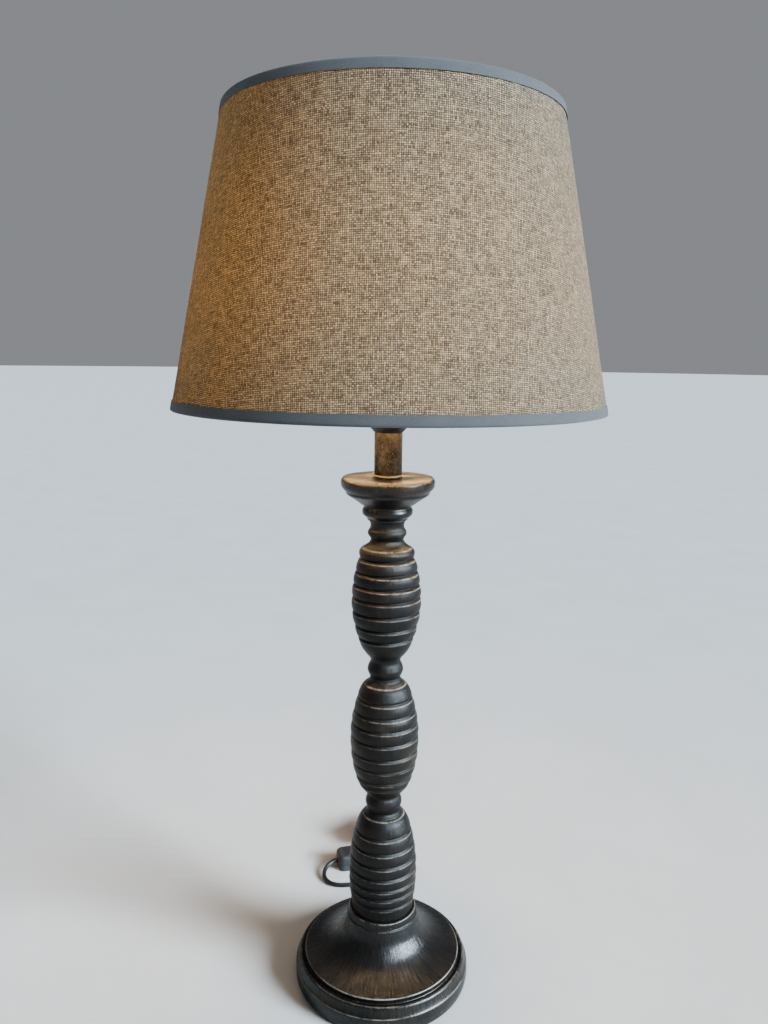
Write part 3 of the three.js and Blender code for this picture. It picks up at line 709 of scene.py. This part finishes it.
def bored_section(node, name, radii, heights, wear, segments, waver, seed, finish=WOOD):
    """A turned section with the rod's bore through it, and its rubbed places kept on the mesh."""
    outline = [(ROD_BORE, heights[0]), *zip(radii, heights), (ROD_BORE, heights[-1])]
    rubbed = np.concatenate([[0], wear, [0]])
    piece = revolve(name, outline, segments, rubbed, shape=hand_turned(waver, seed))
    return finish_piece(piece, finish, "stand", "painted_wood", node)


def ringed_section(node, name, wear_low, wear_high, seed):
    """A ringed column section on its CAD outline. The rings' edges are rubbed, more so higher up."""
    body, rings = find_rings(cad_outline(node))
    dense = smooth_points([(radius, height, 0) for radius, height in body], ROW_HEIGHT)
    radii, heights = [p.x for p in dense], [p.y for p in dense]
    rows = round((heights[-1] - heights[0]) / ROW_HEIGHT)
    levels = np.linspace(heights[0], heights[-1], rows + 1)
    radius_at = np.interp(levels, heights, radii)
    wear = np.zeros(len(levels))
    offsets, shares = zip(*RING_SECTION)
    for k, (edge, groove, depth) in enumerate(rings):
        slope = groove - edge
        cut = np.interp((levels - edge) / slope, offsets, shares, left=0, right=0)
        radius_at -= GROOVE_DEEPENING * depth * cut
        if k + 1 < len(rings):
            face_bottom, face_top = edge + 1.45 * slope, rings[k + 1][0]
            along = np.clip((levels - face_bottom) / (face_top - face_bottom), 0, 1)
            radius_at += FACE_BULGE * np.sin(np.pi * along)
        strength = np.interp(edge, [heights[0], heights[-1]], [wear_low, wear_high])
        rubbed = strength * np.exp(-(((levels - edge + 0.0001) / EDGE_WIDTH) ** 2))
        rubbed_below = 0.3 * strength * np.exp(-(((levels - edge - 1.5 * slope) / EDGE_WIDTH) ** 2))
        wear = np.maximum(wear, np.maximum(rubbed, rubbed_below))
    return bored_section(node, name, softened(radius_at, 1), levels, wear, 128, 0.00022, seed)


def smooth_section(node, name, wear_strength, seed, segments=112, finish=WOOD):
    """A plain turned section on the CAD outline, its arrises just rounded over and rubbed."""
    outline = [(radius, height, 0) for radius, height in cad_outline(node)]
    dense = smooth_points(outline, ROW_HEIGHT)
    radii, heights = np.array([p.x for p in dense]), np.array([p.y for p in dense])
    run = np.concatenate([[0], np.cumsum(np.hypot(np.diff(radii), np.diff(heights)))])
    turn = np.unwrap(np.arctan2(np.gradient(heights, run), np.gradient(radii, run)))
    bend = np.gradient(turn, run)
    wear = np.clip(bend * 0.0016, 0, 1) * wear_strength
    return bored_section(node, name, radii, heights, wear, segments, 0.00018, seed, finish)


# The foot's outer side from the bottom up: (radius, height, how far its arris is rubbed).
FOOT_OUTLINE = [
    (0.0896, 0.0018, 0), (0.0906, 0.0030, 0), (0.0912, 0.0060, 0), (0.0915, 0.0100, 0), (0.0915, 0.0145, 0),
    (0.0913, 0.0172, 0), (0.0910, 0.0184, 0.5), (0.0903, 0.0193, 0.1), (0.0892, 0.0216, 0),
    (0.0882, 0.0245, 0), (0.0873, 0.0271, 0.1), (0.0862, 0.0283, 0.34), (0.0851, 0.0285, 0.15),
    (0.0836, 0.0280, 0), (0.0825, 0.0275, 0), (0.0816, 0.0278, 0), (0.0813, 0.0290, 0),
    (0.0815, 0.0316, 0.05), (0.0812, 0.0326, 0.7), (0.0805, 0.0332, 0.25), (0.0795, 0.0335, 0),
    (0.0755, 0.0346, 0), (0.0690, 0.0364, 0), (0.0620, 0.0393, 0), (0.0550, 0.0434, 0), (0.0487, 0.0486, 0),
    (0.0435, 0.0549, 0), (0.0398, 0.0620, 0), (0.0378, 0.0680, 0), (0.0370, 0.0708, 0),
    (0.0367, 0.0716, 0.3), (0.0359, 0.0720, 0.1), (0.0354, 0.0727, 0), (0.0353, 0.0755, 0),
    (0.0351, 0.0783, 0.2),
    (0.0346, 0.0793, 0.45), (0.0337, 0.0799, 0.1), (0.0322, 0.0800, 0),
]


def make_foot():
    scaled = [(radius, height, wear * 0.001) for radius, height, wear in FOOT_OUTLINE]
    dense = smooth_points(scaled, 0.0006)
    low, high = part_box("foot")
    recess, recess_top = 0.028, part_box("rod_washer")[1].z + 0.0003
    outline = [(recess, low.z), *[(p.x, p.y) for p in dense], (ROD_BORE, high.z), (ROD_BORE, recess_top)]
    outline.append((recess, recess_top))
    wear = [0, *[min(1, max(0, p.z * 1000)) for p in dense], 0, 0, 0]
    foot = revolve("turned_foot", outline, 192, wear, shape=hand_turned(0.00025, 3.0))
    return finish_piece(foot, FOOT_WOOD, "stand", "painted_wood", "foot")


make_foot()
ringed_section("column_lower", "turned_column_lower", 0.45, 1.0, 11)
ringed_section("column_middle", "turned_column_middle", 0.35, 1.0, 23)
ringed_section("column_upper", "turned_column_upper", 0.4, 1.0, 37)
smooth_section("column_neck", "turned_column_neck", 0.5, 51)
smooth_section("column_cap", "turned_column_cap", 0.2, 64, 144, CAP_WOOD)

# ---------------------------------------------------------------- sleeve, lampholder and bulb


def filleted(corners, radius=0.0004, arc_sides=3):
    """A closed (radius, height) outline with every corner just rounded, as real edges are."""
    loop = rounded_loop([(x, y, radius) for x, y in corners], arc_sides)
    return [(p.x, p.y) for p in loop]


def make_sleeve():
    low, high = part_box("sleeve_tube")
    inside = high.x - 0.001
    lid = high.z - 0.0015
    outline = [(inside, low.z), (high.x, low.z), (high.x, high.z), (ROD_BORE, high.z), (ROD_BORE, lid)]
    outline.append((inside, lid))
    sleeve = revolve("sleeve", filleted(outline, 0.00035), 96)
    finish_piece(sleeve, BRONZE, "stand", "bronze", "sleeve_tube")

    low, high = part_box("sleeve_ring")
    ring = revolve("sleeve_base_ring", filleted([
        (ROD_BORE, low.z), (high.x, low.z), (high.x, high.z), (ROD_BORE, high.z),
    ], 0.0008), 96)
    finish_piece(ring, DULL_BRASS, "stand", "brass", "sleeve_ring")


THREAD_PITCH = 0.0028
THREAD_DEPTH = 0.00035
FLUTES = 24
FLUTE_DEPTH = 0.00035


def grooved(bottom, top, least_radius, depth_at):
    """Cuts depth_at(angle, height) into whatever lies outside least_radius between two heights."""
    def shape(angle, radius, height):
        if radius < least_radius or not bottom < height < top:
            return radius
        return radius - depth_at(angle, height)
    return shape


def screw_thread(angle, height):
    return THREAD_DEPTH * (1 + math.sin(angle - TAU * height / THREAD_PITCH))


def grip_flutes(angle, height):
    return FLUTE_DEPTH * (0.5 + 0.5 * math.cos(angle * FLUTES))


def make_lampholder():
    low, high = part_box("holder_base")
    radius, wall, neck_radius, neck_inside = high.x, 0.0024, 0.0139, 0.0115
    inside = radius - wall
    shoulder, floor_top = low.z + 0.0068, low.z + 0.003
    base = revolve("lampholder_base", filleted([
        (ROD_BORE, low.z), (neck_radius, low.z), (radius, shoulder), (radius, high.z), (inside, high.z),
        (inside, shoulder + 0.0008), (neck_inside, floor_top), (ROD_BORE, floor_top),
    ], 0.0007), 96, shape=grooved(shoulder + 0.002, high.z - 0.002, radius - 0.0001, grip_flutes))
    finish_piece(base, HOLDER_PLASTIC, "stand", "holder_plastic", "holder_base")

    low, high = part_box("holder_shell")
    flange_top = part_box("fitter_ring")[0].z - 0.0003
    flange_bottom = flange_top - 0.0018
    rows = 90
    side = [(radius, flange_top + (high.z - flange_top) * i / rows) for i in range(rows + 1)]
    corners = [(inside, low.z), (radius, low.z), (radius, flange_bottom), (high.x, flange_bottom),
               (high.x, flange_top), *side, (inside, high.z)]
    cut_thread = grooved(flange_top + 0.001, high.z - 0.001, radius - 0.0001, screw_thread)
    shell = revolve("lampholder_shell", corners, 96, shape=cut_thread)
    shade_flat_edges(shell, 50)
    finish_piece(shell, HOLDER_PLASTIC, "stand", "holder_plastic", "holder_shell")


def make_bulb():
    low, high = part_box("bulb_glass")
    tall, wide = high.z - low.z, high.x
    side = [(0.41, 0.0), (0.41, 0.21), (0.47, 0.29), (0.63, 0.38), (0.82, 0.47), (0.95, 0.57),
            (0.999, 0.685), (0.96, 0.79), (0.84, 0.885), (0.64, 0.955), (0.34, 0.993), (0.0, 1.0)]
    dense = smooth_points([(r * wide, low.z + h * tall, 0) for r, h in side], 0.0012)
    outline = [(0, low.z), *[(max(0, p.x), p.y) for p in dense[:-1]], (0, high.z)]
    glass = revolve("frosted_glass", outline, 72, closed=False)
    finish_piece(glass, FROSTED, "bulb", "bulb_glass", "bulb_glass")

    low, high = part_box("bulb_cap")
    shoulder = low.z + 0.0036
    rows = 96
    side = [(high.x, shoulder + (high.z - shoulder) * i / rows) for i in range(rows + 1)]
    inside = high.x - 0.0009
    outline = [(0.005, low.z), *side, (inside, high.z), (inside, shoulder), (0.005, low.z + 0.001)]
    cut_thread = grooved(shoulder + 0.001, high.z - 0.002, high.x - 0.0001, screw_thread)
    cap = revolve("screw_cap", outline, 72, shape=cut_thread)
    finish_piece(cap, ALUMINIUM, "bulb", "aluminium", "bulb_cap")


make_sleeve()
make_lampholder()
make_bulb()

# ---------------------------------------------------------------- shade

SHADE_BOTTOM, SHADE_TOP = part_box("tape_bottom")[0].z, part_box("tape_top")[1].z
BOTTOM_RADIUS, TOP_RADIUS = 0.200, 0.1496
SLOPE = math.atan2(BOTTOM_RADIUS - TOP_RADIUS, SHADE_TOP - SHADE_BOTTOM)
SLANT = (SHADE_TOP - SHADE_BOTTOM) / math.cos(SLOPE)
APEX_DISTANCE = BOTTOM_RADIUS / math.sin(SLOPE)
SEAM_ANGLE = math.pi / 2
SEAM_LAP = math.radians(1.8)


def on_shade(along, out):
    """(radius, height) of a point this far up the shade's outer face, and this far out from it."""
    return (
        BOTTOM_RADIUS - along * math.sin(SLOPE) + out * math.cos(SLOPE),
        SHADE_BOTTOM + along * math.cos(SLOPE) + out * math.sin(SLOPE),
    )


def lap_share(turn, ramp):
    """0 round the shade, rising over this much turn to 1 where a strip comes back over its start."""
    return max(0.0, min(1.0, (turn - TAU + ramp) / ramp))


def shade_sheet(name, bottom, top, out, overlap, columns=288, rows=56, ripple=0.0):
    """One skin of the shade: a flat fan bent round, its ends meeting or lapped at the back. Keeps each
    point's place in the flat cut, so that threads run straight in it as they did on the roll."""
    points, flat, faces = [], [], []
    sweep = TAU + overlap
    for j in range(rows + 1):
        along = bottom + (top - bottom) * j / rows
        for i in range(columns + 1):
            turn = sweep * i / columns
            lap = lap_share(turn, 0.02)
            angle = SEAM_ANGLE + turn
            wave = ripple * noise.noise(Vector(polar(3, angle, along * 14)))
            radius, height = on_shade(along, out + 0.00035 * lap + wave)
            points.append(polar(radius, angle, height))
            spread = (turn - sweep / 2) * math.sin(SLOPE)
            reach = APEX_DISTANCE - along
            flat.append((reach * math.sin(spread), reach * math.cos(spread), 0))
    wide = columns + 1
    for j in range(rows):
        for i in range(columns):
            k = j * wide + i
            faces.append((k, k + 1, k + 1 + wide, k + wide))
    mesh = bpy.data.meshes.new(name)
    mesh.from_pydata(points, [], faces)
    mesh.shade_smooth()
    attribute = mesh.attributes.new("flat", "FLOAT_VECTOR", "POINT")
    attribute.data.foreach_set("vector", np.array(flat, np.float32).ravel())
    return add_object(name, mesh)


def edge_tape(name, edge, direction):
    """Tape folded over an edge of the shade: outside, round the rim, and a little way up inside. Its
    own ends lap at the back, and its free edge wanders slightly."""
    outside, inside, depth, proud, bend = 0.0086, 0.005, 0.0062, 0.0008, 0.0009
    section = [(outside, 0.00025), (outside, proud)]
    section += [(outside * (1 - k / 8), proud + 0.00008 * math.sin(math.pi * k / 8)) for k in range(1, 7)]
    section += [(0.0009, proud), (0.0002, proud - 0.0004), (0.0, proud - bend)]
    section += [(0.0, -0.002), (0.0, -0.004), (0.0002, -depth + 0.0007), (0.0008, -depth)]
    section += [(inside * k / 4, -depth) for k in range(1, 5)]
    section += [(inside, -depth + 0.0005), (0.0012, -depth + 0.0005), (0.0006, -depth + 0.0009)]
    section += [(0.0005, -0.002), (0.0006, 0.0)]
    columns = 320
    sweep = TAU + SEAM_LAP
    points, along_values, across_values, faces = [], [], [], []
    for i in range(columns + 1):
        turn = sweep * i / columns
        angle = SEAM_ANGLE + 0.05 + turn
        lap = lap_share(turn, 0.015)
        wander = 0.00022 * noise.noise(Vector(polar(7, angle, edge * 50)))
        across = 0.0
        for k, (rise, out) in enumerate(section):
            if k:
                across += math.dist(section[k - 1], section[k])
            slack = wander * rise / outside
            radius, height = on_shade(edge + direction * (rise + slack), out + 0.0004 * lap * (out > 0))
            points.append(polar(radius, angle, height))
            along_values.append(turn * BOTTOM_RADIUS)
            across_values.append(across)
    count = len(section)
    for i in range(columns):
        for k in range(count):
            m = (k + 1) % count
            a, b = i * count, (i + 1) * count
            quad = (a + k, b + k, b + m, a + m)
            faces.append(quad if direction > 0 else quad[::-1])
    first_end = tuple(range(count))
    last_end = tuple(range(columns * count, (columns + 1) * count))
    faces.append(first_end if direction < 0 else first_end[::-1])
    faces.append(last_end if direction > 0 else last_end[::-1])
    mesh = bpy.data.meshes.new(name)
    mesh.from_pydata(points, [], faces)
    set_values(mesh, "along", along_values)
    set_values(mesh, "across", across_values)
    tape = add_object(name, mesh)
    shade_flat_edges(tape, 50)
    return tape


def make_shade():
    margin, lining_inset = 0.0009, 0.0017
    linen = shade_sheet("shade_linen", margin, SLANT - margin, 0.0, SEAM_LAP, ripple=0.0003)
    finish_piece(linen, LINEN, "shade", "shade_fabric", "shade_fabric")
    backing = shade_sheet("shade_backing", margin, SLANT - margin, -lining_inset, 0, 240, 24)
    finish_piece(backing, BACKING, "shade", "shade_lining", "shade_lining")
    for name, node, edge, direction in (
        ("edge_tape_bottom", "tape_bottom", 0.0, 1), ("edge_tape_top", "tape_top", SLANT, -1),
    ):
        tape = edge_tape(name, edge, direction)
        finish_piece(tape, TAPE, "shade", "edge_tape", node)
    for name, node in (("shade_wire_bottom", "wire_bottom"), ("shade_wire_top", "wire_top")):
        low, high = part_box(node)
        half = (high.z - low.z) / 2 / math.cos(math.pi / 6)
        middle = high.x - half
        level = (low.z + high.z) / 2
        wire = revolve(name, [(middle + x, level + y) for x, y in circle(half, 16)], 192)
        finish_piece(wire, WIRE_PAINT, "shade", "wire_paint", node)


OVER_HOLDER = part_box("holder_base")[1].x + 0.0005


def make_fitter():
    low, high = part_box("fitter_ring")
    ring = revolve("fitter_disc", filleted([
        (OVER_HOLDER, low.z), (high.x, low.z), (high.x, high.z), (OVER_HOLDER, high.z),
    ], 0.0006), 96)
    finish_piece(ring, WIRE_PAINT, "shade", "wire_paint", "fitter_ring")
    level = (low.z + high.z) / 2
    wire_radius = 0.0015
    start = high.x - 0.0006
    route = [(start, 0, level), (0.08, 0, level), (0.15, 0, level), (0.184, 0, level),
             (0.1914, 0, level - 0.0009), (0.1946, 0, level - 0.0031)]
    for number in range(3):
        arm = cord_curve(f"fitter_arm_wire_{number + 1}", smooth_points(route, 0.003), wire_radius)
        arm.data.transform(Matrix.Rotation(TAU / 4 + TAU * number / 3, 4, "Z"))
        finish_piece(arm, WIRE_PAINT, "shade", "wire_paint", f"fitter_arm_{number + 1}")


def make_ring_nut():
    low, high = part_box("shade_ring_nut")
    outer, knurls, knurl_depth = high.x, 20, 0.0011
    rows = 10
    corners = [(OVER_HOLDER, low.z), (outer - 0.0004, low.z)]
    corners += [(outer, low.z + 0.0006 + (high.z - low.z - 0.0016) * i / rows) for i in range(rows + 1)]
    corners += [(outer - 0.0008, high.z), (OVER_HOLDER, high.z)]

    def knurled(angle, radius, height):
        if radius < outer - 0.001:
            return radius
        return radius - knurl_depth * max(0.0, math.cos(angle * knurls)) ** 3
    nut = revolve("ring_nut", corners, 240, shape=knurled)
    shade_flat_edges(nut, 45)
    finish_piece(nut, HOLDER_PLASTIC, "ring_nut", "holder_plastic", "shade_ring_nut")


make_shade()
make_fitter()
make_ring_nut()

# ---------------------------------------------------------------- inline switch

SWITCH_PLACE = Matrix.Translation((-0.0263, 0.1885, 0)) @ Matrix.Rotation(math.radians(15), 4, "Z")
SWITCH_LENGTH, SWITCH_WIDTH, SWITCH_HEIGHT = 0.065, 0.027, 0.020
SWITCH_SPLIT = 0.009


def rectangle(length, width, corner):
    half_length, half_width = length / 2, width / 2
    return rounded_loop([
        (-half_length, -half_width, corner), (half_length, -half_width, corner),
        (half_length, half_width, corner), (-half_length, half_width, corner),
    ], 8)


def make_switch():
    wall, seam, underside, hollow_floor, crown_bevel = 0.002, 0.0003, 0.0002, 0.0022, 0.0042
    first_groove, groove_pitch, groove_depth = 0.0180, 0.0022, 0.0005
    outline = rectangle(SWITCH_LENGTH, SWITCH_WIDTH, 0.007)
    hollow = rectangle(SWITCH_LENGTH - 2 * wall, SWITCH_WIDTH - 2 * wall, 0.005)
    lower = slab("switch_lower_half", outline, underside, SWITCH_SPLIT - seam / 2, 0.0006, 2)
    cut(lower, slab("cutter", hollow, hollow_floor, SWITCH_SPLIT + 0.01))
    upper = slab("switch_upper_half", outline, SWITCH_SPLIT + seam / 2, SWITCH_HEIGHT, 0.0, 1)
    crown = bmesh.new()
    crown.from_mesh(upper.data)
    rim = [e for e in crown.edges if min(v.co.z for v in e.verts) > SWITCH_HEIGHT - 1e-6]
    bmesh.ops.bevel(crown, geom=rim, offset=crown_bevel, segments=6, profile=0.5, affect="EDGES")
    crown.to_mesh(upper.data)
    crown.free()
    cut(upper, slab("cutter", hollow, SWITCH_SPLIT - 0.01, SWITCH_HEIGHT - wall))
    window = rectangle(0.025, 0.014, 0.0015)
    cut(upper, slab("cutter", window, SWITCH_SPLIT, SWITCH_HEIGHT + 0.01))
    for side in (-1, 1):
        for k in range(4):
            groove = rectangle(0.0009, SWITCH_WIDTH + 0.01, 0.0002)
            cutter = slab("cutter", groove, SWITCH_HEIGHT - groove_depth, SWITCH_HEIGHT + 0.01)
            place(cutter, Matrix.Translation((side * (first_groove + groove_pitch * k), 0, 0)))
            cut(upper, cutter)
    for end in (-1, 1):
        hole = slab("cutter", circle(0.0028, 24), -0.006, 0.006)
        at_end = Matrix.Translation((end * SWITCH_LENGTH / 2, 0, LEAD_HEIGHT))
        place(hole, at_end @ Z_TO_RIGHT)
        for half in (lower, upper):
            copy = bpy.data.objects.new("cutter", hole.data.copy())
            bpy.context.scene.collection.objects.link(copy)
            cut(half, copy)
        bpy.data.objects.remove(hole)
    for piece, node in ((lower, "switch_case_lower"), (upper, "switch_case_upper")):
        place(piece, SWITCH_PLACE)
        finish_piece(piece, SWITCH_PLASTIC, "stand", "switch_plastic", node)
    return lower, upper


def make_rocker():
    """The rocker: a dished bar, one end raised, with grip lines across each end."""
    side = [(-0.0100, -0.0015), (-0.0040, -0.0026), (0.0040, -0.0026), (0.0100, -0.0015), (0.0100, 0.0052),
            (0.0094, 0.0056), (0.0050, 0.0060), (0.0, 0.0069), (-0.0050, 0.0079), (-0.0094, 0.0083),
            (-0.0100, 0.0079)]
    half_width, middle_top, rise, run = 0.0063, 0.0069, 0.0024, 0.0188
    rocker = slab("rocker", side, -half_width, half_width, 0.0005, 2)
    place(rocker, Z_TO_FRONT)
    bore = slab("cutter", circle(0.0015, 24), -0.01, 0.01)
    place(bore, Z_TO_FRONT)
    cut(rocker, bore)
    lift = math.atan2(rise, run)
    for k in range(3):
        for end in (-1, 1):
            x = end * (0.0085 - 0.0014 * k)
            top = middle_top - x * math.tan(lift)
            cutter = slab("cutter", rectangle(0.0005, 0.010, 0.0001), top - 0.0004, top + 0.004)
            place(cutter, Matrix.Translation((x, 0, 0)))
            cut(rocker, cutter)
    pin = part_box("switch_pin")
    place(rocker, SWITCH_PLACE @ Matrix.Translation((0, 0, (pin[0].z + pin[1].z) / 2)))
    return finish_piece(rocker, SWITCH_PLASTIC, "rocker", "switch_plastic", "switch_rocker")


SWITCH_HALVES = make_switch()
ROCKER = make_rocker()

# ---------------------------------------------------------------- plug and coil tie

PLUG_WIDTH, PLUG_LENGTH, PLUG_THICKNESS = 0.035, 0.037, 0.0136


def make_plug():
    low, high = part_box("plug_body")
    x, z = (low.x + high.x) / 2, (low.z + high.z) / 2
    rear = low.y + PLUG_LENGTH
    half, back = PLUG_WIDTH / 2, 0.003
    outline = rounded_loop([
        (-0.006, 0, 0.002), (-half + back, -0.009, 0.004), (-half, -0.015, 0.004),
        (-half, -PLUG_LENGTH, back), (half, -PLUG_LENGTH, back),
        (half, -0.015, 0.004), (half - back, -0.009, 0.004), (0.006, 0, 0.002),
    ], 5)
    body = slab("plug", outline, -PLUG_THICKNESS / 2, PLUG_THICKNESS / 2, 0.0028, 5)
    for side in (-1, 1):
        for k in range(5):
            groove = rectangle(0.024 - 0.002 * k, 0.0009, 0.0002)
            cutter = slab("cutter", groove, -0.0006, 0.0006)
            level = Matrix.Translation((0, -0.013 - 0.0024 * k, side * PLUG_THICKNESS / 2))
            cut(body, place(cutter, level))
    length = high.y - rear
    rings = 4
    tail = [(0.0, -0.002), (0.0054, -0.002)]
    for k in range(rings):
        at = length * k / rings
        radius = 0.0053 - 0.0016 * k / rings
        tail += [(radius, at + 0.0006), (radius - 0.0003, at + length / rings * 0.6)]
        groove = radius - 0.0011
        tail += [(groove, at + length / rings * 0.72), (groove, at + length / rings * 0.95)]
    tail += [(0.0035, length), (CORD_BORE, length), (CORD_BORE, length - 0.006), (0, length - 0.006)]
    relief = revolve("relief", tail, 40, closed=False)
    place(relief, Z_TO_BACK)
    boolean(body, relief, "UNION")
    place(body, Matrix.Translation((x, rear, z)))
    finish_piece(body, SHEATH, "stand", "cord_pvc", "plug_body")
    pins = []
    for name, node in (("plug_pin_a", "plug_pin_left"), ("plug_pin_b", "plug_pin_right")):
        pin_low, pin_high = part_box(node)
        radius = (pin_high.x - pin_low.x) / 2
        reach = pin_high.y - pin_low.y
        side = [(0, 0), (radius, 0), (radius, reach * 0.52), (radius - 0.00015, reach * 0.53),
                (radius - 0.00015, reach - 0.0016), (radius - 0.0005, reach - 0.0007),
                (radius - 0.0011, reach - 0.0001), (0, reach)]
        pin = revolve(name, side, 32, closed=False)
        pin_place = Matrix.Translation(((pin_low.x + pin_high.x) / 2, pin_high.y + 0.0004, z))
        place(pin, pin_place @ Z_TO_FRONT)
        shade_flat_edges(pin, 35)
        pins.append(finish_piece(pin, BRASS, "stand", "brass", node))
    return [body, *pins]


def make_tie():
    """A flat strap round the winding, with its end through a small buckle."""
    low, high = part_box("cord_coil")
    middle_radius = COIL_INNER_RADIUS + COIL_PITCH
    size = (high.z - low.z) / 2 + 0.0003
    thickness, width = 0.0008, 0.005
    outside = rectangle(2 * (size + thickness), 2 * (size + thickness), 0.003)
    inside = rectangle(2 * size, 2 * size, 0.0023)
    strap = slab("winding_tie", outside, -width / 2, width / 2, 0.0002, 1)
    cut(strap, slab("cutter", inside, -width, width))
    buckle = slab("buckle", rectangle(0.0022, 0.006, 0.0005), -0.0037, 0.0037, 0.0004, 2)
    place(buckle, Matrix.Translation((size + thickness, 0, 0)))
    boolean(strap, buckle, "UNION")
    turn = Matrix.Rotation(-TAU / 8, 4, "Z")
    centre = Matrix.Translation((COIL_CENTRE.x, COIL_CENTRE.y, (low.z + high.z) / 2))
    place(strap, centre @ turn @ Matrix.Translation((middle_radius, 0, 0)) @ Z_TO_FRONT)
    return finish_piece(strap, HOLDER_PLASTIC, "stand", "holder_plastic", "coil_tie")


PLUG_PIECES = make_plug()
TIE = make_tie()

# ---------------------------------------------------------------- CAD nodes that show as they are

CARRIED_OVER = {
    FELT: ["foot_pad"],
    STEEL: [
        "threaded_rod", "rod_washer", "rod_nut", "switch_pin", "switch_screw_left", "switch_screw_right",
    ],
    SHEATH: ["inner_lead"],
    CERAMIC: ["contact_block", "bulb_tip"],
    BRASS: [
        "terminal_screw_live", "terminal_screw_neutral", "centre_contact", "screw_shell", "switch_contact",
    ],
}
for finish, names in CARRIED_OVER.items():
    for node in names:
        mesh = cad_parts[node].data
        mesh.materials.clear()
        mesh.materials.append(finish)

# ---------------------------------------------------------------- floor and light


def pale_floor():
    n = Nodes("pale_floor")
    mottle = n.noise(n.position(), 6, 4)
    colour = n.mix(n.span(mottle, 0.3, 0.7), (0.47, 0.465, 0.455), (0.50, 0.495, 0.485))
    normal = n.bump(n.noise(n.position(), 260, 3), 0.0002, 0.3)
    return n.finish(n.principled(Base_Color=colour, Roughness=0.9, Normal=normal, Specular_IOR_Level=0.2))


def make_floor():
    radius, segments = 40.0, 96
    made = bmesh.new()
    bmesh.ops.create_circle(made, cap_ends=True, segments=segments, radius=radius)
    mesh = bpy.data.meshes.new("floor")
    made.to_mesh(mesh)
    made.free()
    floor = add_object("floor", mesh)
    mesh.materials.append(pale_floor())
    floor.location.z = -0.0001


def daylight(strength, azimuth, elevation, spread, colour):
    """Soft light from one side: azimuth to the right of the front, and elevation, in degrees."""
    data = bpy.data.lights.new("daylight", "SUN")
    data.energy = strength
    data.angle = math.radians(spread)
    data.color = colour
    light = bpy.data.objects.new("daylight", data)
    side, up = math.radians(azimuth), math.radians(elevation)
    source = Vector((math.sin(side) * math.cos(up), -math.cos(side) * math.cos(up), math.sin(up)))
    light.rotation_euler = source.to_track_quat("Z", "Y").to_euler()
    light.location = 3 * source
    bpy.context.scene.collection.objects.link(light)


def make_lights():
    world = bpy.data.worlds.new("studio")
    world.use_nodes = True
    background = world.node_tree.nodes["Background"]
    background.inputs["Color"].default_value = (0.62, 0.64, 0.67, 1)
    background.inputs["Strength"].default_value = 0.28
    bpy.context.scene.world = world
    daylight(9.2, 63, 25, 26, (0.74, 0.88, 1.0))


make_floor()
make_lights()
bpy.context.scene.view_settings.view_transform = "AgX"
bpy.context.scene.view_settings.look = "AgX - Medium High Contrast"
bpy.context.scene.view_settings.exposure = 0.45
